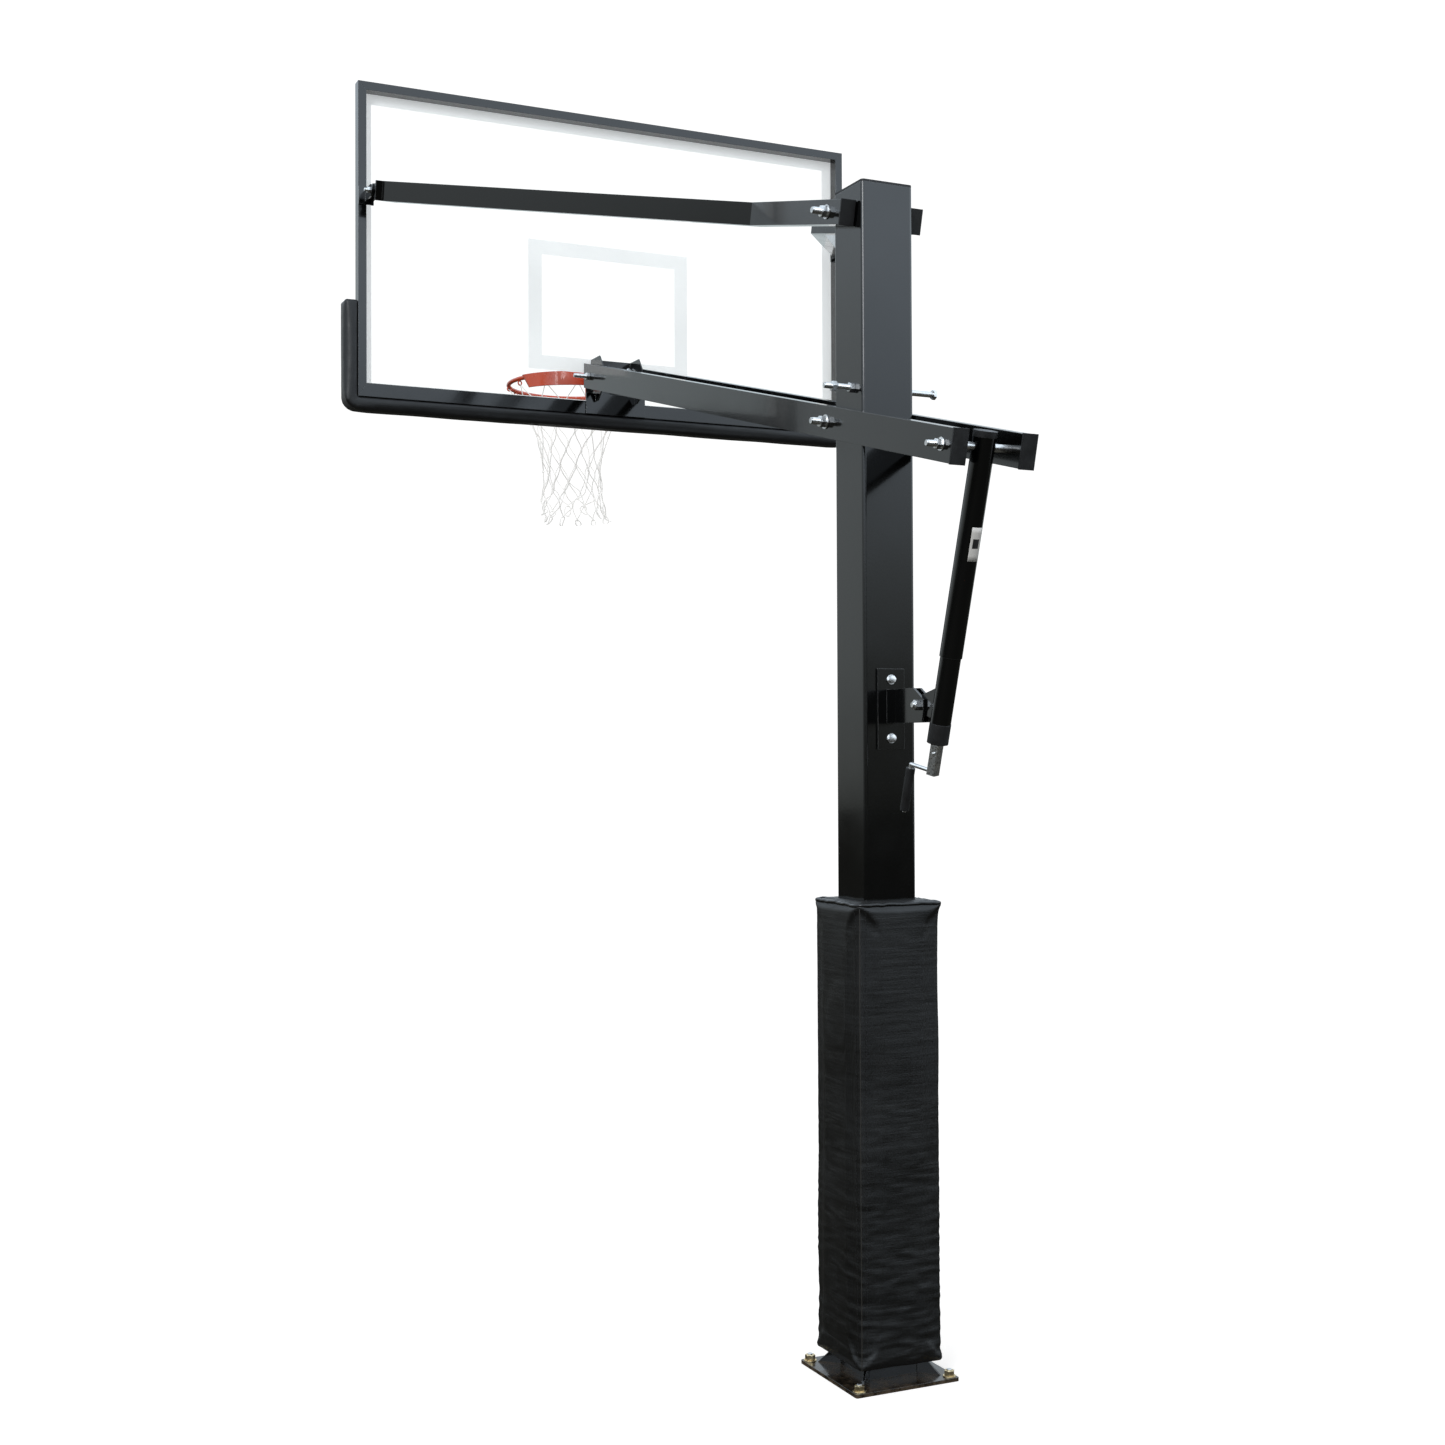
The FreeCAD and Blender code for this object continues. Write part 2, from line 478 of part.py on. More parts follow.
def make_lower_arms():
    nose = "arm_span + lower_nose / cos(arm_pitch)"
    slant = "lower_deep / 2 * tan(arm_pitch)"
    half = "lower_deep / 2"
    points = [("lower_rear", half), (f"-({nose}) - {slant}", half), (f"-({nose}) + {slant}", f"-{half}"),
              ("lower_rear", f"-{half}")]
    blank = outline("lower_arm_blank", points, "lower_wide", "YZ_Plane", True)
    place(blank, (LOWER_X, 0, 0))
    inside = "lower_wide - 2 * lower_wall"
    hollow = block("lower_arm_hollow", (inside, f"lower_rear + {nose} + 60", "lower_deep - 2 * lower_wall"),
                   (f"{LOWER_X} - ({inside}) / 2", f"-({nose}) - 40", "-lower_deep / 2 + lower_wall"))
    start = f"{LOWER_X} - lower_wide / 2 - 2"
    holes = [rod(f"lower_arm_hole_{i}", f"{dia} / 2 + running_gap", "lower_wide + 4", (start, y, 0), "x")
             for i, (dia, y) in enumerate((("pivot_dia", 0), ("front_pivot_dia", "-arm_span"),
                                           ("jack_pin_dia", "jack_pin_reach")))]
    left = on_arm(cut("lower_arm_left", blank, hollow, *holes), "-lower_pivot_back", "lower_pivot_height")
    node(left)
    node(mirror("lower_arm_right", left))
    cap = on_arm(arm_cap("lower", LOWER_X), "-lower_pivot_back", "lower_pivot_height")
    node(group("lower_arm_end_caps", cap, mirror("lower_cap_right", cap)))


# ---- upper arms: bent tubes that spread to the sides of the board ----------------------------------

def arm_plan(half, rear, end):
    """Top-view corners of the bent tube at a given half width, rear end and front end."""
    run = f"({end} - upper_bend)"
    reach = f"(({LUG_X} - lug_inboard - {UPPER_X}) / {run})"
    bend = f"atan({reach})"
    end_x = f"({UPPER_X} + {run} * {reach})"
    return [(f"{UPPER_X} - {half}", rear), (f"{UPPER_X} - {half}", f"-upper_bend - {half} * tan({bend} / 2)"),
            (f"{end_x} - {half} / cos({bend})", f"-{end}"), (f"{end_x} + {half} / cos({bend})", f"-{end}"),
            (f"{UPPER_X} + {half}", f"-upper_bend + {half} * tan({bend} / 2)"), (f"{UPPER_X} + {half}", rear)]


def make_upper_arms():
    end = "(arm_span - upper_setback)"
    blank = outline("upper_arm_blank", arm_plan("upper_wide / 2", "upper_rear", end), "upper_deep",
                    "XY_Plane", True)
    inside = "(upper_wide / 2 - upper_wall)"
    hollow = outline("upper_arm_hollow", arm_plan(inside, "upper_rear + 1", end),
                     "upper_deep - 2 * upper_wall", "XY_Plane", True)
    tube = cut("upper_arm_tube", blank, hollow)
    plate_x = f"{LUG_X} - lug_inboard - upper_wide * 0.75"
    plate = block("upper_arm_plate", (f"{LUG_X} + lug_thick / 2 - ({plate_x})", "end_plate", "upper_deep"),
                  (plate_x, f"-{end} - end_plate", "-upper_deep / 2"))
    lug_long = "upper_setback - end_plate"
    lug = block("upper_arm_lug", ("lug_thick", lug_long, "lug_radius * 2"),
                (f"{LUG_X} - lug_thick / 2", "-arm_span", "-lug_radius"))
    nose = rod("upper_arm_nose", "lug_radius", "lug_thick", (f"{LUG_X} - lug_thick / 2", "-arm_span", 0), "x")
    holes = [rod("upper_arm_pivot_hole", "pivot_dia / 2 + running_gap", "upper_wide + 4",
                 (f"{UPPER_X} - upper_wide / 2 - 2", 0, 0), "x"),
             rod("upper_arm_lug_hole", "side_pivot_dia / 2 + open_gap", "lug_thick + 4",
                 (f"{LUG_X} - lug_thick / 2 - 2", "-arm_span", 0), "x")]
    left = cut("upper_arm_left", fuse("upper_arm_weldment", tube, plate, lug, nose), *holes)
    node(on_arm(left, UPPER_Y, UPPER_Z))
    node(mirror("upper_arm_right", left))
    cap = on_arm(arm_cap("upper", UPPER_X), UPPER_Y, UPPER_Z)
    node(group("upper_arm_end_caps", cap, mirror("upper_cap_right", cap)))


# ---- jack: drawn upright with its top pin at the origin, then leaned ---------------------------------

def on_jack(thing):
    return place(thing, (0, JACK_Y, JACK_Z), axis=X_AXIS, angle="-jack_tilt")


def make_jack_pin():
    """The bolt across the arms' rear ends, which carries the top of the jack."""
    out = f"({LOWER_X} + lower_wide / 2)"
    seat = f"{out} + pivot_washer"
    node(bolt_x("jack_top_bolt", "jack_pin_dia", f"-{out}", f"{seat} + jack_pin_dia * 0.85 + thread_proud",
                JACK_Y, JACK_Z))
    nut = nut_on("jack_top_hex", "jack_pin_dia", (seat, JACK_Y, JACK_Z))
    ring = washer_on("jack_top_washer", "jack_pin_dia", "jack_pin_dia * 2.1", "pivot_washer",
                     (out, JACK_Y, JACK_Z))
    node(group("jack_top_nut", nut, ring))
    inner = f"({POST_HALF} + lower_gap)"
    gap = "(jack_outer_dia / 2 + sleeve_gap)"
    sleeves = []
    for i, x in enumerate((gap, f"-{inner}")):
        sleeves.append(washer_on(f"jack_sleeve_{i}", "jack_pin_dia", "sleeve_dia", f"{inner} - {gap}",
                                 (x, JACK_Y, JACK_Z)))
    node(group("jack_top_sleeves", *sleeves))


def make_jack():
    long = "jack_top + jack_outer_end"
    low = (0, 0, "-jack_outer_end")
    outer = rod("jack_outer_blank", "jack_outer_dia / 2", long, low)
    bore = rod("jack_outer_bore", "jack_outer_dia / 2 - jack_wall", long, low)
    cross = "(jack_outer_dia + 4)"
    pin_hole = rod("jack_outer_pin_hole", "jack_pin_dia / 2 + running_gap", cross,
                   (f"-{cross} / 2", 0, 0), "x")
    node(on_jack(cut("jack_outer_tube", outer, bore, pin_hole)))
    lid_foot = (0, 0, "jack_top - jack_lid_skirt")
    lid = rod("lid_blank", "jack_outer_dia / 2 + jack_lid_lip", "jack_lid_skirt + jack_lid", lid_foot)
    lid_room = rod("lid_room", "jack_outer_dia / 2 + jack_lid_gap", "jack_lid_skirt", lid_foot)
    node(on_jack(cut("jack_top_cap", lid, lid_room)))
    tube = rod("drive_tube_blank", "drive_dia / 2", "drive_end + drive_top", (0, 0, "-drive_end"))
    tube_bore = rod("drive_tube_bore", "drive_dia / 2 - drive_wall", "drive_end + drive_top",
                    (0, 0, "-drive_end"))
    drive_hole = rod("drive_pin_hole", "jack_pin_dia / 2 + running_gap", "drive_dia + 4",
                     ("-drive_dia / 2 - 2", 0, 0), "x")
    node(on_jack(cut("drive_tube", tube, tube_bore, drive_hole)))
    nut_low = (0, 0, "-drive_end - drive_nut_long")
    nut = hexagon("drive_nut_hex", "drive_nut_flats", "drive_nut_long", nut_low)
    nut_bore = rod("drive_nut_bore", "screw_dia / 2 + running_gap", "drive_nut_long", nut_low)
    node(on_jack(cut("drive_nut", nut, nut_bore)))

    long = "jack_inner_end - jack_inner_top"
    low = (0, 0, "-jack_inner_end")
    inner = rod("jack_inner_blank", "jack_inner_dia / 2", long, low)
    inner_bore = rod("jack_inner_bore", "jack_inner_dia / 2 - jack_wall", long, low)
    foot = "-jack_inner_end + 4"
    back = f"-{JACK_OFFSET} - lug_eye * 0.5"
    points = [("-jack_inner_dia / 4", foot), ("-jack_inner_dia / 4", f"{foot} + lug_foot"),
              (back, f"-{JACK_DROP} + lug_eye * 0.87"), (back, f"-{JACK_DROP} - lug_eye * 0.87")]
    wide = "(ear_gap - 2 * ear_side_gap)"
    lug = outline("jack_lug_plate", points, wide, "YZ_Plane", True)
    eye_at = (f"-{wide} / 2", f"-{JACK_OFFSET}", f"-{JACK_DROP}")
    eye = rod("jack_lug_eye", "lug_eye", wide, eye_at, "x")
    eye_hole = rod("jack_lug_hole", "jack_pin_dia / 2 + lug_hole_gap", wide, eye_at, "x")
    node(on_jack(cut("jack_inner_tube", fuse("jack_inner_weldment", inner, lug, eye), inner_bore, eye_hole)))
    low = (0, 0, "-jack_inner_end - jack_cap_long")
    shell = rod("jack_bearing_blank", "jack_cap_dia / 2", "jack_cap_long", low)
    seat = rod("jack_bearing_bore", "screw_neck_dia / 2 + running_gap", "jack_cap_long", low)
    recess = rod("jack_bearing_recess", "jack_cap_dia / 2 - bearing_wall", "jack_cap_long - bearing_floor",
                 (0, 0, "-jack_inner_end - jack_cap_long + bearing_floor"))
    node(on_jack(cut("jack_bearing", shell, seat, recess)))


def swung(label, thing):
    """A piece of the crank, turned about the jack's axis and then leaned with the jack."""
    turned = place(group(label + "_turned", thing), angle="crank_swing")
    return on_jack(group(label, turned))


def make_crank():
    screw = rod("screw_thread", "screw_dia / 2", "jack_inner_end - screw_top - 6",
                (0, 0, "-jack_inner_end + 6"))
    neck_drop = "(jack_inner_end + jack_cap_long + 3)"
    neck = rod("screw_neck", "screw_neck_dia / 2", f"{neck_drop} - jack_inner_end + 7",
               (0, 0, f"-{neck_drop}"))
    collar = rod("screw_collar_ring", "screw_neck_dia", "screw_collar",
                 (0, 0, "-jack_inner_end - 3 * screw_collar"))
    node(on_jack(fuse("lead_screw", screw, neck, collar)))
    long = f"crank_arm_drop + yoke_lip - {neck_drop}"
    fork = bar("yoke_blank", "yoke_side", "yoke_side", long, "yoke_corner")
    place(fork, (0, 0, "-crank_arm_drop - yoke_lip"))
    pin_hole = rod("yoke_pin_hole", "crank_pin_dia / 2 + hole_gap", "yoke_side + 4",
                   ("-yoke_side / 2 - 2", 0, "-crank_pin_drop"), "x")
    rod_hole = rod("yoke_rod_hole", "crank_rod_dia / 2 + hole_gap", "yoke_side",
                   (0, "-yoke_side", "-crank_arm_drop"), "y")
    node(swung("crank_yoke", cut("yoke_drilled", fork, pin_hole, rod_hole)))
    pin = rod("cross_pin_shank", "crank_pin_dia / 2", "yoke_side + 2 * crank_pin_proud",
              ("-yoke_side / 2 - crank_pin_proud", 0, "-crank_pin_drop"), "x")
    node(swung("crank_cross_pin", pin))
    out = "-crank_reach"
    arm = rod("crank_arm_bar", "crank_rod_dia / 2", "crank_reach", (0, out, "-crank_arm_drop"), "y")
    ball = doc.addObject("Part::Sphere", "crank_elbow")
    bind(ball, "Radius", "crank_rod_dia / 2")
    place(ball, (0, out, "-crank_arm_drop"))
    spindle = rod("crank_spindle", "crank_rod_dia / 2", "grip_long + grip_drop + spindle_end",
                  (0, out, "-crank_arm_drop - grip_long - grip_drop - spindle_end"))
    node(swung("crank_rod", fuse("crank_rod_bent", arm, ball, spindle)))
    grip_low = (0, out, "-crank_arm_drop - grip_long - grip_drop")
    grip = rod("grip_blank", "grip_dia / 2", "grip_long", grip_low)
    grip_bore = rod("grip_bore", "crank_rod_dia / 2 + grip_gap", "grip_long", grip_low)
    node(swung("crank_grip", cut("grip_bored", grip, grip_bore)))


# ---- board: mitred tube frame, glass, print and pad ------------------------------------------------

def rail(name, span, face, start, inset_low, inset_high, turn, at):
    """A mitred tube of the frame, drawn along X in the XZ plane, depth towards -Y."""
    points = [(start, "0"), (f"{start} + {span}", "0"), (f"{start} + {span} - {inset_high}", face),
              (f"{start} + {inset_low}", face)]
    blank = outline(name + "_blank", points, "rail_deep", "XZ_Plane")
    hollow = block(name + "_hollow", (span, "rail_deep - 2 * rail_wall", f"{face} - 2 * rail_wall"),
                   (start, "-rail_deep + rail_wall", "rail_wall"))
    thing = cut(name, blank, hollow)
    return node(place(thing, at, axis=Y_AXIS, angle=turn))


def make_frame():
    half = "board_wide / 2"
    top = f"{BOARD_LOW} + board_tall"
    rail("frame_rail_bottom", "board_wide", "bottom_face", f"-{half}", "rail_face", "rail_face", "0",
         (0, BOARD_BACK, BOARD_LOW))
    rail("frame_rail_top", "board_wide", "rail_face", f"-{half}", "rail_face", "rail_face", "180",
         (0, BOARD_BACK, top))
    rail("frame_rail_left", "board_tall", "rail_face", "0", "bottom_face", "rail_face", "-90",
         (half, BOARD_BACK, BOARD_LOW))
    rail("frame_rail_right", "board_tall", "rail_face", "-board_tall", "rail_face", "bottom_face", "90",
         (f"-{half}", BOARD_BACK, BOARD_LOW))


def frame_ring(name, half_x, low, high, line, y, thick):
    """A flat rectangular ring in the plane of the board, thick towards -Y."""
    tall = f"({high} - {low})"
    near = f"{y} - {thick}"
    body = block(name + "_field", (f"2 * {half_x}", thick, tall), (f"-{half_x}", near, low))
    hole = block(name + "_window", (f"2 * ({half_x} - {line})", thick, f"{tall} - 2 * {line}"),
                 (f"-({half_x} - {line})", near, f"{low} + {line}"))
    return cut(name, body, hole)


def rim_bolt_spots():
    low = f"({BOARD_LOW} + rim_bolt_low)"
    return [(f"{sx}rim_bolt_x / 2", z) for sx in ("-", "") for z in (low, f"{low} + rim_bolt_z")]


def rim_bolt_holes(name, gap, thick, y):
    """A hole at each of the rim's bolts, gap wider than the bolt on every side."""
    return [rod(f"{name}_{i}", f"rim_bolt_dia / 2 + {gap}", thick, (x, y, z), "y")
            for i, (x, z) in enumerate(rim_bolt_spots())]


def make_glass():
    half = "(board_wide / 2 - glass_inset)"
    low = f"({BOARD_LOW} + glass_inset)"
    high = f"({BOARD_LOW} + board_tall - glass_inset)"
    pane = block("glass_blank", (f"2 * {half}", "glass_thick", f"{high} - {low}"),
                 (f"-{half}", GLASS_FRONT, low))
    node(cut("glass_pane", pane, *rim_bolt_holes("glass_hole", "glass_hole_gap", "glass_thick", GLASS_FRONT)))
    strip = frame_ring("seal_strip", half, low, high, "seal_wide", RAIL_FRONT, "seal_thick")
    patch = block("seal_patch_blank",
                  (f"2 * {MOUNT_HALF}", "seal_thick", "mount_top - bottom_face - 2 * patch_inset"),
                  (f"-{MOUNT_HALF}", GLASS_BACK, f"{BOARD_LOW} + bottom_face + patch_inset"))
    patch_holes = rim_bolt_holes("seal_hole", "seal_hole_gap", "seal_thick", GLASS_BACK)
    plate_back = f"{PLATE_FRONT} + rim_plate"
    gasket = block("rim_gasket_blank", ("2 * rim_plate_half", "rim_gasket - print_thick", "rim_plate_tall"),
                   ("-rim_plate_half", plate_back, f"{RING_Z} + rim_plate_top - rim_plate_tall"))
    gasket_holes = rim_bolt_holes("gasket_hole", "seal_hole_gap", "rim_gasket", plate_back)
    node(group("glass_seal", strip, cut("seal_patch", patch, *patch_holes),
               cut("rim_gasket_sheet", gasket, *gasket_holes)))
    node(frame_ring("border_print", half, low, high, "border_wide", GLASS_FRONT, "print_thick"))
    base = f"({BOARD_LOW} + target_rise)"
    target = frame_ring("target_field_ring", "(target_wide / 2)", base, f"({base} + target_tall)",
                        "target_line", GLASS_FRONT, "print_thick")
    print_holes = rim_bolt_holes("print_hole", "seal_hole_gap", "print_thick", f"{GLASS_FRONT} - print_thick")
    node(cut("target_print", target, *print_holes))


def make_board_pad():
    """A U of foam round the lower corners, with a lip that laps the front of the glass."""
    half = "(board_wide / 2 + board_pad_gap)"
    back = f"({BOARD_BACK} - 2)"
    front = f"({GLASS_FRONT} - print_thick - board_pad_gap)"
    deep = f"({back} - {front} + board_pad_front)"
    low = f"({BOARD_LOW} - board_pad_gap - board_pad_thick)"
    tall = "board_pad_thick + board_pad_gap + board_pad_rise"
    outer = bar("pad_u_outer", f"2 * {half} + 2 * board_pad_thick", f"{tall} + 100", deep,
                "board_pad_thick + 4")
    place(outer, (0, back, f"{low} + ({tall} + 100) / 2"), flip=FreeCAD.Rotation(X_AXIS, 90))
    trim = block("pad_u_trim", ("board_wide * 1.2", "400", "200"),
                 ("-board_wide * 0.6", f"{back} - 300", f"{low} + {tall}"))
    room = block("pad_u_room", (f"2 * {half}", f"{back} - {front} + 50", "board_tall"),
                 (f"-{half}", front, f"{BOARD_LOW} - board_pad_gap"))
    window = block("pad_u_window", (f"2 * ({half} - board_pad_lip)", "400", "board_tall"),
                   (f"-({half} - board_pad_lip)", f"{back} - 300", f"{BOARD_LOW} + board_pad_lip"))
    node(cut("board_pad", outer, trim, room, window))


def make_mounts():
    low = f"({BOARD_LOW} + bottom_face)"
    plate = block("mount_back_plate", (f"2 * {MOUNT_HALF}", "mount_plate", f"{MOUNT_Z} - {low}"),
                  (f"-{MOUNT_HALF}", RAIL_FRONT, low))
    nose = f"{FRONT_Y} + mount_nose"
    points = [(RAIL_FRONT, low), (f"{FRONT_Y} - mount_heel", low), (nose, f"{FRONT_Z} - mount_below"),
              (nose, f"{FRONT_Z} + mount_above"), (f"{FRONT_Y} - mount_brow", MOUNT_Z), (RAIL_FRONT, MOUNT_Z)]
    ears = []
    for i, x in enumerate((f"{MOUNT_HALF} - mount_ear", f"-{MOUNT_HALF}")):
        ears.append(place(outline(f"mount_ear_{i}", points, "mount_ear", "YZ_Plane"), (x, 0, 0)))
    foot = block("mount_foot", ("2 * foot_half", "mount_plate", "foot_tall"),
                 ("-foot_half", BOARD_BACK, BOARD_LOW))
    holes = [rod("mount_pivot_hole", "front_pivot_dia / 2 + hole_gap", f"2 * {MOUNT_HALF} + 4",
                 (f"-{MOUNT_HALF} - 2", FRONT_Y, FRONT_Z), "x")]
    holes += rim_bolt_holes("mount_bolt_hole", "hole_gap", "mount_plate + 2", f"{RAIL_FRONT} - 1")
    node(cut("center_mount", fuse("mount_weldment", plate, foot, *ears), *holes))
    out = f"({LOWER_X} + lower_wide / 2 + washer_gap)"
    bolt = bolt_x("front_pivot_shank", "front_pivot_dia", f"-{out}",
                  f"{out} + front_pivot_dia * 0.85 + front_thread_proud", FRONT_Y, FRONT_Z)
    nut = nut_on("front_pivot_nut", "front_pivot_dia", (out, FRONT_Y, FRONT_Z))
    node(group("front_pivot_bolt", bolt, nut))

    base_x = f"({SIDE_START} - 3)"
    base = block("side_base", (f"board_wide / 2 - {base_x}", "side_ear_thick", "side_base_tall"),
                 (base_x, BOARD_BACK, f"{SIDE_Z} - side_base_tall / 2"))
    ears = []
    for i, x in enumerate((f"{LUG_X} + lug_thick / 2 + side_ear_gap", SIDE_START)):
        flat = block(f"side_ear_flat_{i}", ("side_ear_thick", f"{SIDE_Y} - {BOARD_BACK}", "side_ear_tall"),
                     (x, BOARD_BACK, f"{SIDE_Z} - side_ear_tall / 2"))
        end = rod(f"side_ear_end_{i}", "side_ear_tall / 2", "side_ear_thick", (x, SIDE_Y, SIDE_Z), "x")
        ears += [flat, end]
    span = "(2 * side_ear_thick + lug_thick + 2 * side_ear_gap)"
    hole = rod("side_pivot_hole", "side_pivot_dia / 2 + hole_gap", f"{span} + 4",
               (f"{SIDE_START} - 2", SIDE_Y, SIDE_Z), "x")
    left = node(cut("side_bracket_left", fuse("side_weldment", base, *ears), hole))
    node(mirror("side_bracket_right", left))
    seat = f"{SIDE_START} + {span}"
    shank = bolt_x("side_pivot_shank", "side_pivot_dia", SIDE_START,
                   f"{seat} + side_pivot_dia * 0.85 + side_thread_proud", SIDE_Y, SIDE_Z)
    side_nut = nut_on("side_pivot_nut", "side_pivot_dia", (seat, SIDE_Y, SIDE_Z))
    pair = group("side_pivot_left", shank, side_nut)
    node(group("side_pivot_bolts", pair, mirror("side_pivot_right", pair)))


# ---- rim: fixed plate, sprung hinge, ring, brace, hooks and net ---------------------------------------

def make_rim_plate():
    low = f"({RING_Z} + rim_plate_top - rim_plate_tall)"
    plate = block("rim_plate_blank", ("2 * rim_plate_half", "rim_plate", "rim_plate_tall"),
                  ("-rim_plate_half", PLATE_FRONT, low))
    ear_long = "(hinge_front + ear_rim_front)"
    ears = [block(f"rim_ear_{i}", ("neck_plate", ear_long, "ear_rim_tall"),
                  (x, f"{PLATE_FRONT} - {ear_long}", f"{HINGE_Z} - ear_rim_tall / 2"))
            for i, x in enumerate(("neck_half + hinge_side_gap", "-neck_half - hinge_side_gap - neck_plate"))]
    ear_out = "(neck_half + hinge_side_gap + neck_plate)"
    holes = [rod("rim_ear_hole", "hinge_dia / 2 + hole_gap", f"2 * {ear_out} + 4",
                 (f"-{ear_out} - 2", HINGE_Y, HINGE_Z), "x")]
    holes += rim_bolt_holes("rim_plate_hole", "hole_gap", "rim_plate + 2", f"{PLATE_FRONT} - 1")
    shelf = block("rim_shelf", ("2 * shelf_half", "hinge_front + spring_front + shelf_front", "shelf_thick"),
                  ("-shelf_half", f"{SPRING_Y} - shelf_front", f"{SHELF_Z} - shelf_thick"))
    for i, x in enumerate(("spring_x", "-spring_x")):
        holes.append(rod(f"rim_shelf_hole_{i}", "spring_stud_dia / 2 + hole_gap", "shelf_thick + 2",
                         (x, SPRING_Y, f"{SHELF_Z} - shelf_thick - 1")))
    node(cut("rim_mount_plate", fuse("rim_plate_weldment", plate, shelf, *ears), *holes))
    bolts = []
    back = f"({RAIL_FRONT} + mount_plate)"
    for i, (x, z) in enumerate(rim_bolt_spots()):
        head = hexagon(f"rim_bolt_head_{i}", "rim_bolt_dia * 1.5", "rim_bolt_dia * 0.62",
                       (x, f"{PLATE_FRONT} - rim_bolt_dia * 0.62", z), "y")
        shank = rod(f"rim_bolt_shank_{i}", "rim_bolt_dia / 2", f"{back} - {PLATE_FRONT} + rim_bolt_proud",
                    (x, PLATE_FRONT, z), "y")
        bolts.append(fuse(f"rim_bolt_{i}", head, shank))
        bolts.append(nut_on(f"rim_bolt_nut_{i}", "rim_bolt_dia", (x, back, z), "y"))
    node(group("rim_bolts", *bolts))
    pin_half = f"({ear_out} + hinge_pin_proud)"
    node(group("rim_hinge_pin", rod("rim_hinge_rod", "hinge_dia / 2", f"2 * {pin_half}",
                                    (f"-{pin_half}", HINGE_Y, HINGE_Z), "x")))
    springs, studs = [], []
    top = f"({RING_Z} + ring_rod / 2)"
    room = f"({top} - neck_plate - {SHELF_Z} - 2 * spring_gap)"
    stud_foot = f"{SHELF_Z} - shelf_thick"
    for i, x in enumerate(("spring_x", "-spring_x")):
        at = (x, SPRING_Y, f"{SHELF_Z} + spring_gap")
        coil = rod(f"spring_coil_{i}", "spring_dia / 2", room, at)
        core = rod(f"spring_core_{i}", "spring_bore / 2", room, at)
        springs.append(cut(f"spring_{i}", coil, core))
        head = hexagon(f"spring_stud_head_{i}", "spring_head_flats", "spring_head_tall",
                       (x, SPRING_Y, f"{top} + spring_gap"))
        foot = hexagon(f"spring_stud_foot_{i}", "spring_nut_flats", "spring_nut_tall",
                       (x, SPRING_Y, f"{stud_foot} - spring_nut_tall"))
        shank = rod(f"spring_stud_shank_{i}", "spring_stud_dia / 2",
                    f"{top} + spring_gap - ({stud_foot}) + spring_stud_proud",
                    (x, SPRING_Y, f"{stud_foot} - spring_stud_proud"))
        studs.append(fuse(f"spring_stud_{i}", head, foot, shank))
    node(group("rim_springs", *springs))
    node(group("rim_spring_studs", *studs))


def make_hooks():
    """Closed wire loops welded under the ring, which carry the net."""
    hooks = []
    drop = f"{RING_Z} - ring_rod / 2 - hook_loop + hook_rod / 2 - weld_gap"
    for i in range(NET_HOOKS):
        angle = 360 / NET_HOOKS * (i + 0.5)
        loop = doc.addObject("Part::Torus", f"hook_{i}")
        bind(loop, "Radius1", "hook_loop - hook_rod / 2")
        bind(loop, "Radius2", "hook_rod / 2")
        reach = f"({RING_RADIUS} - hook_rod / 2)"
        at = (f"{reach} * cos({angle})", f"{RING_Y} + {reach} * sin({angle})", drop)
        turn = FreeCAD.Rotation(Z_AXIS, angle) * FreeCAD.Rotation(X_AXIS, 90)
        hooks.append(place(loop, at, flip=turn))
    return hooks


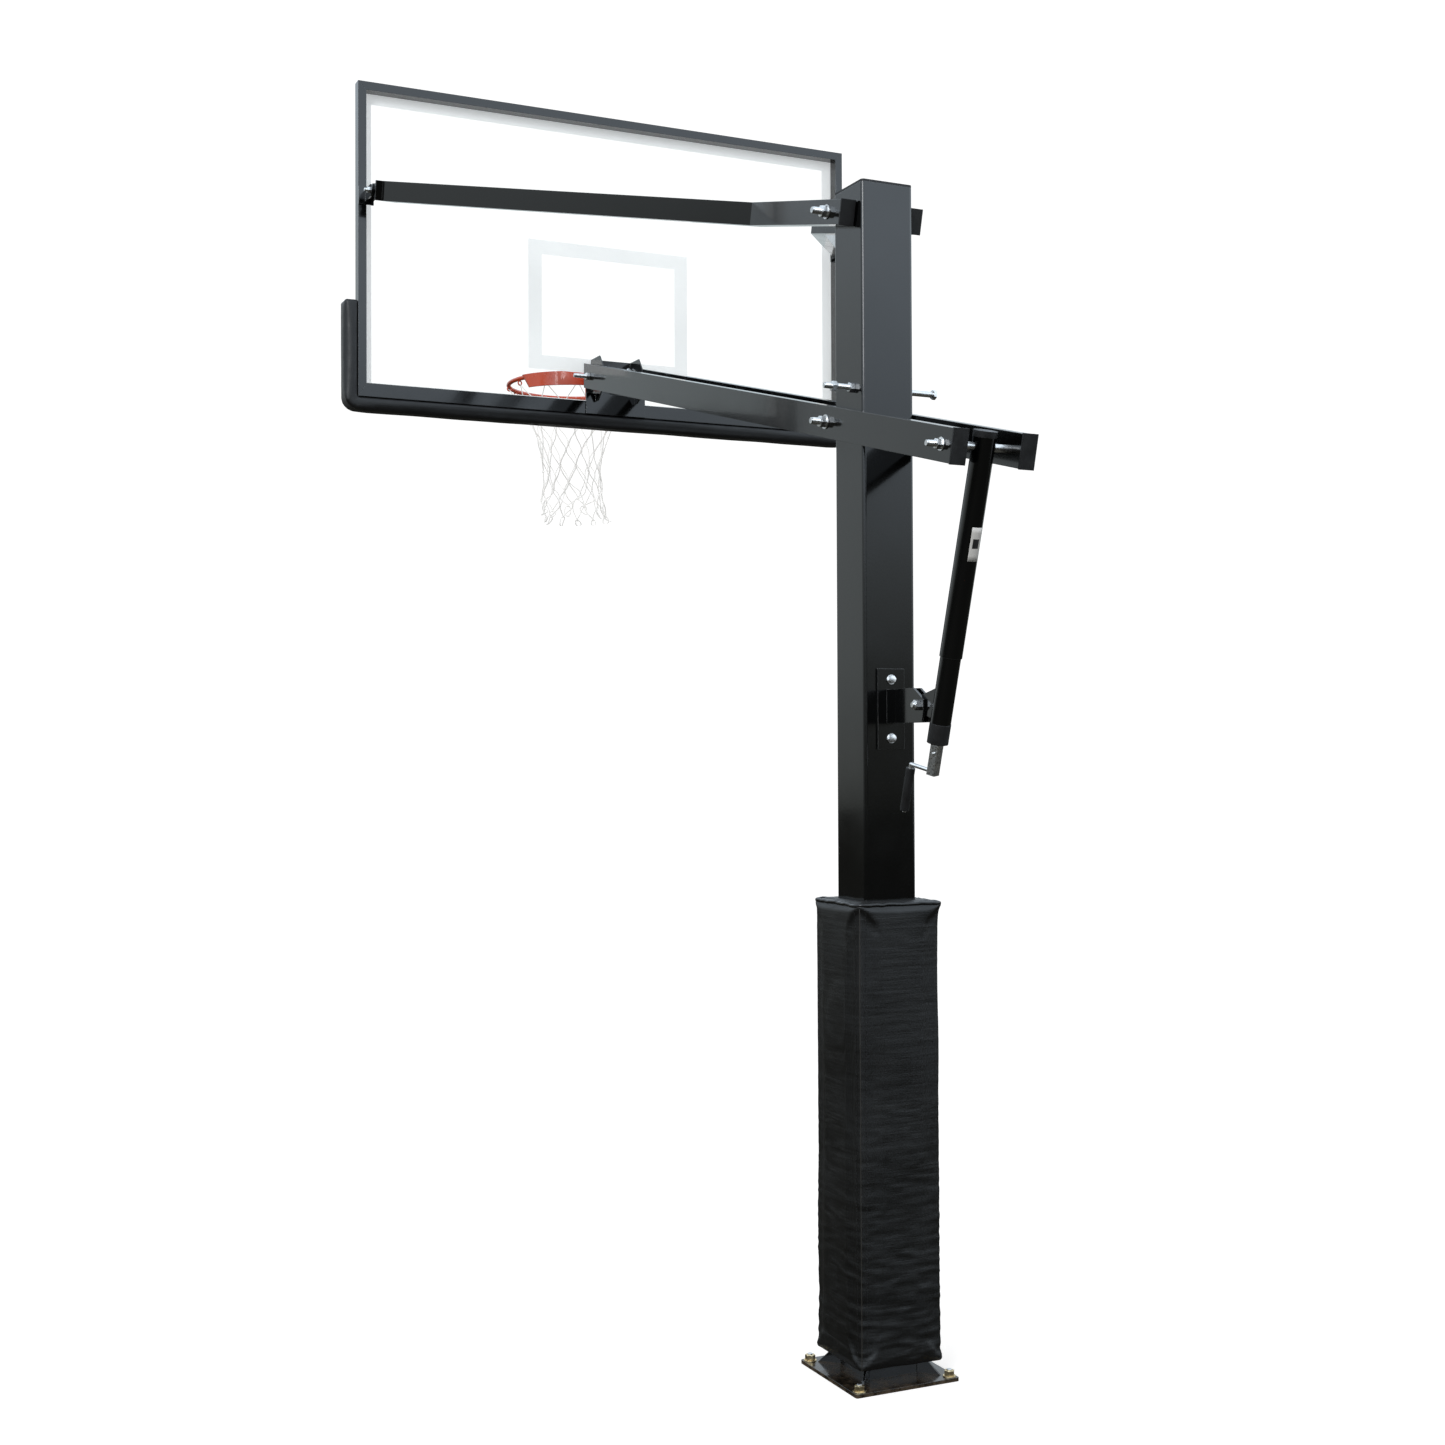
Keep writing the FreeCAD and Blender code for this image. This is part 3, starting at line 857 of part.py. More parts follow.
def make_rim():
    ring = doc.addObject("Part::Torus", "ring_hoop")
    bind(ring, "Radius1", RING_RADIUS)
    bind(ring, "Radius2", "ring_rod / 2")
    place(ring, (0, RING_Y, RING_Z))
    node(fuse("rim_ring", ring, *make_hooks()))
    inner = f"({RING_RADIUS} + ring_rod / 2 + weld_gap)"
    low = f"({RING_Z} + ring_rod / 2 - brace_tall)"
    band = rod("brace_outer", f"{inner} + brace_thick", "brace_tall", (0, RING_Y, low))
    core = rod("brace_inner", inner, "brace_tall", (0, RING_Y, low))
    wide = f"({inner} + brace_thick) * sin(brace_angle)"
    high = f"{low} + brace_tall + 1"
    points = [(f"-({wide}) + brace_slant", f"{low} - 1"), (f"-({wide})", high), (wide, high),
              (f"{wide} - brace_slant", f"{low} - 1")]
    wedge = outline("brace_wedge", points, "300", "XZ_Plane")
    place(wedge, (0, f"{RING_Y} + 320", 0))
    sweep = doc.addObject("Part::Common", "rim_brace")
    sweep.Base = cut("brace_hoop", band, core)
    sweep.Tool = wedge
    node(sweep)

    tail = f"({PLATE_FRONT} - tail_front)"
    meet = f"({RING_Y} + {inner} + brace_thick + weld_gap)"
    top = f"({RING_Z} + ring_rod / 2)"
    foot = f"({RING_Z} - tail_drop)"
    neck_back = f"{HINGE_Y} + neck_heel"
    heel = f"{tail} - weld_gap"
    side_points = [(neck_back, top), (meet, top), (meet, low), (f"{tail} - tail_wide", foot), (heel, foot),
                   (heel, f"{HINGE_Z} - tail_top"), (neck_back, f"{HINGE_Z} - neck_heel")]
    sides = []
    for i, x in enumerate(("neck_half - neck_plate", "-neck_half")):
        sides.append(place(outline(f"neck_side_{i}", side_points, "neck_plate", "YZ_Plane"), (x, 0, 0)))
    lid = block("neck_lid", ("2 * neck_half", f"{neck_back} - {meet}", "neck_plate"),
                ("-neck_half", meet, f"{top} - neck_plate"))
    holes = [rod("neck_hinge_hole", "hinge_dia / 2 + running_gap", "2 * neck_half + 4",
                 ("-neck_half - 2", HINGE_Y, HINGE_Z), "x")]
    holes += [rod(f"neck_spring_hole_{i}", "spring_stud_dia", "neck_plate + 2",
                  (x, SPRING_Y, f"{top} - neck_plate - 1")) for i, x in enumerate(("spring_x", "-spring_x"))]
    node(cut("rim_neck", fuse("neck_weldment", lid, *sides), *holes))


def make_net():
    """The net's true outer shape: an open funnel that necks in and then hangs nearly straight."""
    top_z = f"({RING_Z} - ring_rod / 2 - hook_loop * 2 - 2)"
    outer, inner = [], []
    for name, wall in (("outer", "0"), ("inner", "net_wall")):
        cone = doc.addObject("Part::Cone", f"net_upper_{name}")
        bind(cone, "Radius1", f"net_low_dia / 2 + net_flare - {wall}")
        bind(cone, "Radius2", f"{RING_RADIUS} - 3 - {wall}")
        bind(cone, "Height", "net_long * 0.55")
        place(cone, (0, RING_Y, f"{top_z} - net_long * 0.55"))
        skirt = doc.addObject("Part::Cone", f"net_lower_{name}")
        bind(skirt, "Radius1", f"net_low_dia / 2 - {wall}")
        bind(skirt, "Radius2", f"net_low_dia / 2 + net_flare - {wall}")
        bind(skirt, "Height", "net_long * 0.45")
        place(skirt, (0, RING_Y, f"{top_z} - net_long"))
        (outer if name == "outer" else inner).extend([cone, skirt])
    node(cut("net", fuse("net_outer", *outer), fuse("net_inner", *inner)))


make_base()
make_post()
make_post_pad()
make_post_bolts()
make_jack_bracket()
make_lower_arms()
make_upper_arms()
make_jack_pin()
make_jack()
make_crank()
make_frame()
make_glass()
make_board_pad()
make_mounts()
make_rim_plate()
make_rim()
make_net()
doc.recompute()

for thing in doc.Objects:
    if "Invalid" in thing.State or "Error" in thing.State:
        raise RuntimeError(f"{thing.Name} is {thing.State}")
for thing in NODES:
    if thing.Shape.isNull() or not thing.Shape.isValid() or not thing.Shape.Solids:
        raise RuntimeError(f"{thing.Label} has no valid solid")

os.makedirs("parts", exist_ok=True)
for thing in NODES:
    thing.Shape.exportStep(f"parts/{thing.Label}.step")
print(len(NODES), "sub-parts")
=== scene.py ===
import json
import math

import bmesh
import bpy
from bpy.props import FloatProperty, IntProperty, PointerProperty
from mathutils import Matrix, Vector, noise


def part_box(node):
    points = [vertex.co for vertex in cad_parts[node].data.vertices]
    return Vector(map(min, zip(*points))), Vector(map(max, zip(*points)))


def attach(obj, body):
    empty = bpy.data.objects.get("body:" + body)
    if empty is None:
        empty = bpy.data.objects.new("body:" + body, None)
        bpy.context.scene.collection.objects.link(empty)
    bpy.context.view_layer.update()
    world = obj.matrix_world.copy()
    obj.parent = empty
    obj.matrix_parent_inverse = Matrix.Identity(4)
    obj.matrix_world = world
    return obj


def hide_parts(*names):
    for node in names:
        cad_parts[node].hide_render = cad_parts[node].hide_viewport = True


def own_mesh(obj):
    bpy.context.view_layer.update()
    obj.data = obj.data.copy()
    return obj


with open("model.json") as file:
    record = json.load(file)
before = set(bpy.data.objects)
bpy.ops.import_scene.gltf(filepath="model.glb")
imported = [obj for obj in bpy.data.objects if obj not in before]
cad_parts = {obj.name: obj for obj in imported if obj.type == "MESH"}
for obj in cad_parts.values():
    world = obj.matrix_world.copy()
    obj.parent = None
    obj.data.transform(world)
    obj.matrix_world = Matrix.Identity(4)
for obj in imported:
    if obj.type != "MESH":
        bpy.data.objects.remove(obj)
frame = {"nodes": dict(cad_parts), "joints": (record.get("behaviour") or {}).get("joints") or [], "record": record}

bl_info = {
    "name": "Basketball Hoop Looks",
    "version": (1, 0, 0),
    "blender": (4, 5, 0),
    "location": "View3D > Sidebar > Hoop",
    "description": "Dresses the packed basketball hoop with materials, fasteners, net and pads",
    "category": "Object",
}

NODES = frame["nodes"]


# ---- settings ----

class NetSettings(bpy.types.PropertyGroup):
    """The net's cords."""
    loops: IntProperty(name="Loops", description="Hooks round the ring, with two cords from each",
                       default=12, min=6, max=16)
    rows: IntProperty(name="Rows", description="Rows of knots between the ring and the hem",
                      default=7, min=3, max=12)
    cord: FloatProperty(name="Cord radius", description="Radius of one cord",
                        default=0.0018, min=0.001, max=0.006, precision=4, unit="LENGTH")
    waist: FloatProperty(name="Waist radius", description="Radius that the net narrows to",
                         default=0.106, min=0.08, max=0.2, unit="LENGTH")
    mess: FloatProperty(name="Mess", description="How far the cords stray near the hem",
                        default=0.022, min=0, max=0.06, unit="LENGTH")


class PadSettings(bpy.types.PropertyGroup):
    """How the pads are swollen."""
    voxel: FloatProperty(name="Voxel", description="Mesh size that a pad is rebuilt with",
                         default=0.006, min=0.004, max=0.01, precision=4, unit="LENGTH")
    pressure: FloatProperty(name="Pressure", description="Pressure of the cloth simulation inside a pad",
                            default=4, min=0, max=20)
    frames: IntProperty(name="Frames", description="Length of the cloth simulation",
                        default=20, min=2, max=60, subtype="TIME")
    post_cap: FloatProperty(name="Post pad swell", description="Furthest that the post pad may swell",
                            default=0.005, min=0, max=0.03, unit="LENGTH")
    board_cap: FloatProperty(name="Board pad swell", description="Furthest that the board pad may swell",
                             default=0.003, min=0, max=0.03, unit="LENGTH")


class BoltSettings(bpy.types.PropertyGroup):
    """Detail of the bolts and nuts."""
    segments: IntProperty(name="Segments", description="Sides of a round shank or washer",
                          default=30, min=12, max=96)
    pitch: FloatProperty(name="Pitch share", description="Thread pitch as a share of the bolt's diameter",
                         default=0.13, min=0.05, max=0.3, subtype="FACTOR")


class StageSettings(bpy.types.PropertyGroup):
    """The studio's light."""
    sky: FloatProperty(name="Sky in reflections", description="Strength of the sky that reflections see",
                       default=1.0, min=0, max=5)
    key: FloatProperty(name="Key light", description="Power of the main lamp",
                       default=200, min=0, max=5000, unit="POWER")


# ---- small helpers ----

def srgb(code):
    """A linear RGBA colour from an sRGB hex code."""
    parts = [int(code[i:i + 2], 16) / 255 for i in (1, 3, 5)]
    return tuple(c / 12.92 if c <= 0.04045 else ((c + 0.055) / 1.055) ** 2.4 for c in parts) + (1,)


def add_node(tree, kind, inputs=None, **props):
    """Adds a node with settings from props. inputs maps a socket's name or number to a value or socket."""
    made = tree.nodes.new(kind)
    for key, value in props.items():
        setattr(made, key, value)
    for key, value in (inputs or {}).items():
        if isinstance(value, bpy.types.NodeSocket):
            tree.links.new(value, made.inputs[key])
        else:
            made.inputs[key].default_value = value
    return made


def new_material(name):
    """An empty node material and its tree."""
    mat = bpy.data.materials.new(name)
    mat.use_nodes = True
    mat.node_tree.nodes.clear()
    return mat, mat.node_tree


def close(tree, shader):
    """Ends a material with a shader."""
    out = add_node(tree, "ShaderNodeOutputMaterial")
    tree.links.new(shader, out.inputs["Surface"])


def principled(mat, tree, inputs):
    """Ends a material with a principled shader, and returns the material."""
    close(tree, add_node(tree, "ShaderNodeBsdfPrincipled", inputs).outputs[0])
    return mat


def object_coords(tree, stretch=(1, 1, 1)):
    """Object coordinates, which are metres on the part."""
    coords = add_node(tree, "ShaderNodeTexCoord").outputs["Object"]
    return add_node(tree, "ShaderNodeMapping", {"Vector": coords, "Scale": stretch}).outputs[0]


def grain(tree, where, scale, detail=4, rough=0.55):
    """Cloudy noise from 0 to 1."""
    inputs = {"Vector": where, "Scale": scale, "Detail": detail, "Roughness": rough}
    return add_node(tree, "ShaderNodeTexNoise", inputs).outputs["Fac"]


def remap(tree, value, low, high, to_low=0, to_high=1):
    """A value from one range laid onto another, and held inside it."""
    inputs = {"Value": value, "From Min": low, "From Max": high, "To Min": to_low, "To Max": to_high}
    return add_node(tree, "ShaderNodeMapRange", inputs).outputs["Result"]


def varied(tree, where, scale, detail, low, high):
    """Cloudy noise from low to high."""
    return remap(tree, grain(tree, where, scale, detail), 0.3, 0.7, low, high)


def add(tree, a, b):
    """The sum of two values."""
    return add_node(tree, "ShaderNodeMath", {0: a, 1: b}, operation="ADD").outputs[0]


def times(tree, a, b):
    """The product of two values."""
    return add_node(tree, "ShaderNodeMath", {0: a, 1: b}, operation="MULTIPLY").outputs[0]


def mix(tree, factor, a, b):
    """One colour faded into another. 0, 6 and 7 are the node's factor and colours, and 2 its result."""
    return add_node(tree, "ShaderNodeMix", {0: factor, 6: a, 7: b}, data_type="RGBA").outputs[2]


def bump(tree, height, distance, strength=1.0, normal=None):
    """A normal tipped by a height, whose full range is distance in metres."""
    inputs = {"Height": height, "Distance": distance, "Strength": strength}
    if normal is not None:
        inputs["Normal"] = normal
    return add_node(tree, "ShaderNodeBump", inputs).outputs[0]


def soft_edge(tree, radius):
    """(normal rounded at edges, how near an edge the point is)."""
    rounded = add_node(tree, "ShaderNodeBevel", {"Radius": radius}, samples=4).outputs[0]
    flat = add_node(tree, "ShaderNodeNewGeometry").outputs["Normal"]
    dot = add_node(tree, "ShaderNodeVectorMath", {0: rounded, 1: flat}, operation="DOT_PRODUCT")
    return rounded, remap(tree, dot.outputs["Value"], 0.99, 0.8)


# ---- materials ----

def coated_steel(name, colour, worn, rough=(0.09, 0.19), wear=0.5, peel=0.00004):
    """Powder-coated steel: orange peel, soft edges, scuffs along the edges, and grime near the ground."""
    mat, tree = new_material(name)
    where = object_coords(tree)
    edge_normal, edge = soft_edge(tree, 0.0022)
    patchy = grain(tree, where, 9, 6, 0.65)
    fine = grain(tree, where, 160, 3)
    scuffs = remap(tree, patchy, 0.52, 0.68)
    worn_edge = times(tree, times(tree, edge, scuffs), wear)
    dust = remap(tree, grain(tree, object_coords(tree, (5, 5, 1.2)), 3, 7, 0.7), 0.45, 0.8, 0, 0.25)
    base = mix(tree, dust, srgb(colour), srgb(worn))
    base = mix(tree, worn_edge, base, srgb("#8E8C86"))
    # Painted highlight: every edge is lightened towards pale grey, scuffed or not, standing in for sun glinting on
    # the edges.
    base = mix(tree, times(tree, edge, 0.30), base, srgb("#A8ACB0"))
    height = add_node(tree, "ShaderNodeSeparateXYZ", {0: where}).outputs[2]
    low = remap(tree, height, 0.014, 0.004)
    grime = times(tree, low, remap(tree, grain(tree, where, 34, 6, 0.7), 0.38, 0.62, 0.1, 0.85))
    base = mix(tree, grime, base, srgb("#6F5F4C"))
    roughness = remap(tree, grain(tree, where, 5, 5, 0.6), 0.3, 0.7, *rough)
    roughness = add(tree, roughness, times(tree, grime, 0.5))
    peeled = bump(tree, fine, peel, 1.0, edge_normal)
    return principled(mat, tree, {
        "Base Color": base, "Roughness": roughness, "Normal": peeled,
        "Coat Weight": 0.35, "Coat Roughness": 0.05})


def plated(name, colour, dark, rough):
    """Zinc-plated or plain steel: cloudy tone and fine brushing."""
    mat, tree = new_material(name)
    where = object_coords(tree)
    clouds = grain(tree, where, 60, 5, 0.6)
    edge_normal, edge = soft_edge(tree, 0.0006)
    base = mix(tree, remap(tree, clouds, 0.35, 0.7), srgb(colour), srgb(dark))
    # Painted highlight: edges lightened towards near white, standing in for glints on the edges.
    base = mix(tree, times(tree, edge, 0.4), base, srgb("#F4F4F2"))
    roughness = varied(tree, where, 220, 3, rough - 0.08, rough + 0.12)
    return principled(mat, tree, {
        "Base Color": base, "Metallic": 1.0, "Roughness": roughness,
        "Normal": bump(tree, grain(tree, where, 420, 2), 0.00003, 1.0, edge_normal)})


def moulded_plastic(name, colour, rough=0.5):
    """Moulded plastic, vinyl or foam: faintly mottled, fine-grained, with softly rounded edges."""
    mat, tree = new_material(name)
    where = object_coords(tree)
    edge_normal = soft_edge(tree, 0.0018)[0]
    mottle = remap(tree, grain(tree, where, 14, 5), 0.4, 0.75, 0, 0.35)
    base = mix(tree, mottle, srgb(colour), srgb("#3C3D3F"))
    roughness = varied(tree, where, 30, 4, rough - 0.1, rough + 0.1)
    return principled(mat, tree, {
        "Base Color": base, "Roughness": roughness,
        "Normal": bump(tree, grain(tree, where, 900, 2), 0.00006, 1.0, edge_normal)})


def clear_glass():
    """Toughened glass: nearly clear face on, greenish at its edges."""
    mat, tree = new_material("toughened_glass")
    where = object_coords(tree)
    smears = remap(tree, grain(tree, object_coords(tree, (1, 1, 0.4)), 2.2, 6, 0.7), 0.5, 0.8, 0.0, 0.10)
    facing = add_node(tree, "ShaderNodeLayerWeight", {"Blend": 0.28}).outputs["Fresnel"]
    clear = add_node(tree, "ShaderNodeBsdfTransparent", {"Color": srgb("#FEFFFF")})
    shiny = add_node(tree, "ShaderNodeBsdfPrincipled", {
        "Base Color": srgb("#DDEDE8"), "Roughness": remap(tree, grain(tree, where, 3, 3), 0, 1, 0.0, 0.06),
        "IOR": 1.5, "Alpha": 0.35})
    smeared = times(tree, smears, 0.06)
    share = add(tree, times(tree, facing, 0.10), smeared)
    blend = add_node(tree, "ShaderNodeMixShader", {0: share, 1: clear.outputs[0], 2: shiny.outputs[0]})
    close(tree, blend.outputs[0])
    return mat


def screen_print():
    """White ink behind glass: flat and slightly uneven, and lit through from behind."""
    mat, tree = new_material("white_screen_print")
    where = object_coords(tree)
    base = mix(tree, remap(tree, grain(tree, where, 4, 6), 0.4, 0.7), srgb("#EEF0F0"), srgb("#E6E8E9"))
    # Painted glow: the emission brightens the ink, standing in for light through it from behind.
    return principled(mat, tree, {
        "Base Color": base, "Roughness": varied(tree, where, 40, 3, 0.28, 0.4),
        "Emission Color": srgb("#F4F6F8"), "Emission Strength": 0.46})


def rubber_seal():
    """Matt black rubber with a fine grain."""
    mat, tree = new_material("epdm_rubber")
    where = object_coords(tree)
    base = mix(tree, grain(tree, where, 25, 4), srgb("#101113"), srgb("#1D1F21"))
    return principled(mat, tree, {
        "Base Color": base, "Roughness": 0.62, "Normal": bump(tree, grain(tree, where, 700, 2), 0.00005)})


def vinyl_cloth():
    """Coated fabric: a fine woven backing shows through, with creases that run round the pad."""
    mat, tree = new_material("pvc_coated_fabric")
    where = object_coords(tree)
    weave = []
    for direction in ("X", "Z"):
        wave = add_node(tree, "ShaderNodeTexWave", {"Vector": where, "Scale": 190, "Distortion": 0.6},
                        bands_direction=direction)
        weave.append(wave.outputs["Fac"])
    cloth = times(tree, weave[0], weave[1])
    creases = grain(tree, object_coords(tree, (1.5, 1.5, 22)), 3.2, 5, 0.62)
    leather = add_node(tree, "ShaderNodeTexVoronoi", {"Vector": where, "Scale": 420}).outputs["Distance"]
    base = mix(tree, remap(tree, grain(tree, where, 6, 6, 0.7), 0.35, 0.75), srgb("#090909"), srgb("#121211"))
    # Painted highlight: the crease ridges, where the crease bump rises, are lightened towards dark grey.
    base = mix(tree, remap(tree, creases, 0.58, 0.8, 0, 0.3), base, srgb("#232220"))
    one = bump(tree, cloth, 0.00012)
    two = bump(tree, leather, 0.00010, 0.8, one)
    three = bump(tree, creases, 0.0020, 0.5, two)
    return principled(mat, tree, {
        "Base Color": base, "Roughness": varied(tree, where, 11, 4, 0.34, 0.5),
        "Normal": three, "Sheen Weight": 0.04, "Sheen Roughness": 0.4, "Sheen Tint": srgb("#9AA0A6")})


def skinned_foam():
    """Integral-skin foam: dark grey, satin, with shallow pits."""
    mat, tree = new_material("integral_skin_foam")
    where = object_coords(tree)
    pits = add_node(tree, "ShaderNodeTexVoronoi", {"Vector": where, "Scale": 260}).outputs["Distance"]
    base = mix(tree, remap(tree, grain(tree, where, 7, 6), 0.35, 0.7), srgb("#0E0F11"), srgb("#191A1C"))
    one = bump(tree, pits, 0.00025, 0.7)
    two = bump(tree, grain(tree, where, 18, 4), 0.0012, 0.5, one)
    return principled(mat, tree, {
        "Base Color": base, "Roughness": varied(tree, where, 20, 4, 0.4, 0.56), "Normal": two,
        "Sheen Weight": 0.08})


def nylon_cord():
    """Braided white nylon: slanting strands by bump, a little grime."""
    mat, tree = new_material("braided_nylon")
    where = object_coords(tree)
    wave = {"Vector": where, "Scale": 150, "Distortion": 2.5, "Detail": 2}
    twist = add_node(tree, "ShaderNodeTexWave", wave, bands_direction="DIAGONAL").outputs["Fac"]
    base = mix(tree, remap(tree, grain(tree, where, 18, 5), 0.45, 0.75), srgb("#F6F6F5"), srgb("#E2E2DF"))
    # Painted shade: the grooves between the twisted strands are darkened towards grey.
    base = mix(tree, remap(tree, twist, 0.0, 0.3, 0.35, 0.0), base, srgb("#C8C8C6"))
    # Painted glow: the emission brightens the white cord, standing in for light falling on it.
    return principled(mat, tree, {
        "Base Color": base, "Roughness": 0.62, "Normal": bump(tree, twist, 0.0004, 0.8),
        "Sheen Weight": 0.3, "Emission Color": srgb("#F4F4F2"), "Emission Strength": 0.42})


def label_film():
    """A blank glossy label with one plain dark block, and no lettering."""
    mat, tree = new_material("paper_label")
    place = add_node(tree, "ShaderNodeSeparateXYZ", {0: add_node(tree, "ShaderNodeUVMap").outputs[0]})
    u, v = place.outputs[0], place.outputs[1]
    tall = add_node(tree, "ShaderNodeMath", {0: v, 1: 0.52, 2: 0.14}, operation="COMPARE").outputs[0]
    wide = add_node(tree, "ShaderNodeMath", {0: u, 1: 0.5, 2: 0.30}, operation="COMPARE").outputs[0]
    base = mix(tree, times(tree, tall, wide), srgb("#F0F0EE"), srgb("#303134"))
    return principled(mat, tree, {"Base Color": base, "Roughness": 0.3})


MATERIALS = {}


def make_materials():
    """Materials, laid onto the packed sub-parts by their slots."""
    MATERIALS.update({
        "powder_black": coated_steel("gloss_powder_coat_black", "#050607", "#0E0F10"),
        "powder_orange": coated_steel("satin_powder_coat_orange", "#E8552B", "#D24C29", (0.22, 0.34), 0.25),
        "zinc": plated("bright_zinc_plate", "#F2F2F1", "#C4C6C8", 0.3),
        "gold_zinc": plated("yellow_zinc_plate", "#EFDDB4", "#B8A27A", 0.34),
        "plain_steel": plated("plain_carbon_steel", "#9A9A98", "#6E6D6A", 0.36),
        "black_plastic": moulded_plastic("moulded_polypropylene", "#0D0D0E"),
        "clear_glass": clear_glass(),
        "black_rubber": rubber_seal(),
        "white_print": screen_print(),
        "black_foam": skinned_foam(),
        "black_vinyl": vinyl_cloth(),
        "pad_foam": moulded_plastic("polyurethane_foam", "#3A3A3A", 0.9),
        "white_cord": nylon_cord(),
        "label": label_film(),
        "piping": moulded_plastic("vinyl_piping", "#3C3B39", 0.35),
        "binding": moulded_plastic("glossy_vinyl_binding", "#0B0B0B", 0.16),
        "thread": moulded_plastic("bonded_nylon_thread", "#2A2A2B", 0.7),
    })
    slots = {entry["node"]: entry["material_slot"] for entry in frame["record"]["subparts"]}
    for name, obj in NODES.items():
        wanted = MATERIALS[slots[name]]
        if not obj.data.materials:
            obj.data.materials.append(wanted)
        for index in range(len(obj.data.materials)):
            obj.data.materials[index] = wanted


# ---- mesh helpers ----

def loose(name, data):
    """A new object in the scene, at the origin."""
    obj = bpy.data.objects.new(name, data)
    bpy.context.scene.collection.objects.link(obj)
    return obj


def piece(name, mesh, body, material=None, replaced=()):
    """A finished object at the origin that rides on a body."""
    obj = loose(name, mesh)
    if material is not None:
        mesh.materials.clear()
        mesh.materials.append(MATERIALS[material])
    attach(obj, body)
    if replaced:
        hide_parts(*replaced)
    return obj


def shade_smooth(mesh, sharp=None):
    """Smooth shading, with creases at edges that are sharper than an angle in degrees."""
    for face in mesh.polygons:
        face.use_smooth = True
    if sharp:
        mesh.set_sharp_from_angle(angle=math.radians(sharp))


def applied(obj):
    """The object's mesh with its modifiers applied."""
    seen = bpy.context.evaluated_depsgraph_get()
    return bpy.data.meshes.new_from_object(obj.evaluated_get(seen))


def centre(node):
    """The middle of a packed sub-part's box."""
    low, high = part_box(node)
    return (Vector(low) + Vector(high)) / 2


def tube(name, points, radius, closed=False, facets=2):
    """The mesh of a round cord along points."""
    curve = bpy.data.curves.new(name, "CURVE")
    curve.dimensions = "3D"
    line = curve.splines.new("POLY")
    line.points.add(len(points) - 1)
    for spot, point in zip(line.points, points):
        spot.co = (*point, 1)
    line.use_cyclic_u = closed
    curve.bevel_depth = radius
    curve.bevel_resolution = facets
    curve.use_fill_caps = not closed
    cord = loose(name, curve)
    mesh = applied(cord)
    bpy.data.objects.remove(cord)
    shade_smooth(mesh)
    return mesh


def scattered(name, unit_mesh, points, material, turn=False):
    """Geometry Nodes: a copy of a mesh at each point, made real, with its material set. Returns a mesh."""
    unit = loose(name + "_unit", unit_mesh)
    tree = bpy.data.node_groups.new(name + "_repeat", "GeometryNodeTree")
    face = tree.interface
    face.new_socket("Geometry", in_out="INPUT", socket_type="NodeSocketGeometry")
    unit_id = face.new_socket("Unit", in_out="INPUT", socket_type="NodeSocketObject").identifier
    coat_id = face.new_socket("Coat", in_out="INPUT", socket_type="NodeSocketMaterial").identifier
    face.new_socket("Geometry", in_out="OUTPUT", socket_type="NodeSocketGeometry")
    given = add_node(tree, "NodeGroupInput")
    info = add_node(tree, "GeometryNodeObjectInfo", {"Object": given.outputs["Unit"]})
    dots = add_node(tree, "GeometryNodeMeshToPoints", {"Mesh": given.outputs["Geometry"]})
    spread = {"Points": dots.outputs[0], "Instance": info.outputs["Geometry"]}
    if turn:
        angle = add_node(tree, "GeometryNodeInputNamedAttribute", {"Name": "turn"}, data_type="FLOAT_VECTOR")
        spread["Rotation"] = add_node(tree, "FunctionNodeEulerToRotation", {0: angle.outputs[0]}).outputs[0]
    copies = add_node(tree, "GeometryNodeInstanceOnPoints", spread)
    real = add_node(tree, "GeometryNodeRealizeInstances", {0: copies.outputs[0]})
    coat = add_node(tree, "GeometryNodeSetMaterial",
                    {"Geometry": real.outputs[0], "Material": given.outputs["Coat"]})
    add_node(tree, "NodeGroupOutput", {0: coat.outputs[0]})
    dots_mesh = bpy.data.meshes.new(name + "_points")
    dots_mesh.from_pydata([p[:3] for p in points], [], [])
    if turn:
        turns = dots_mesh.attributes.new("turn", "FLOAT_VECTOR", "POINT")
        for item, point in zip(turns.data, points):
            item.vector = point[3]
    holder = loose(name + "_holder", dots_mesh)
    repeat = holder.modifiers.new("repeat", "NODES")
    repeat.node_group = tree
    repeat[unit_id] = unit
    repeat[coat_id] = MATERIALS[material]
    mesh = applied(holder)
    holder.modifiers.remove(repeat)
    bpy.data.objects.remove(holder)
    bpy.data.objects.remove(unit)
    mesh.name = name
    return mesh


# ---- fasteners ----

# Bolt diameters as sold: 3/4, 5/8, 1/2 and 3/8 inch.
BOLT_3_4, BOLT_5_8, BOLT_1_2, BOLT_3_8 = 0.01905, 0.01588, 0.0127, 0.00953
# Shares of a bolt's diameter: width across the flats, height of the head and height of the nut.
FLATS, HEAD, NUT = 1.5, 0.62, 0.85
# Turns that lay a fastener's own +z along an axis.
AXES = {"x": Matrix.Rotation(math.pi / 2, 4, "Y"), "-x": Matrix.Rotation(-math.pi / 2, 4, "Y"),
        "y": Matrix.Rotation(-math.pi / 2, 4, "X"), "-y": Matrix.Rotation(math.pi / 2, 4, "X"),
        "z": Matrix.Identity(4)}


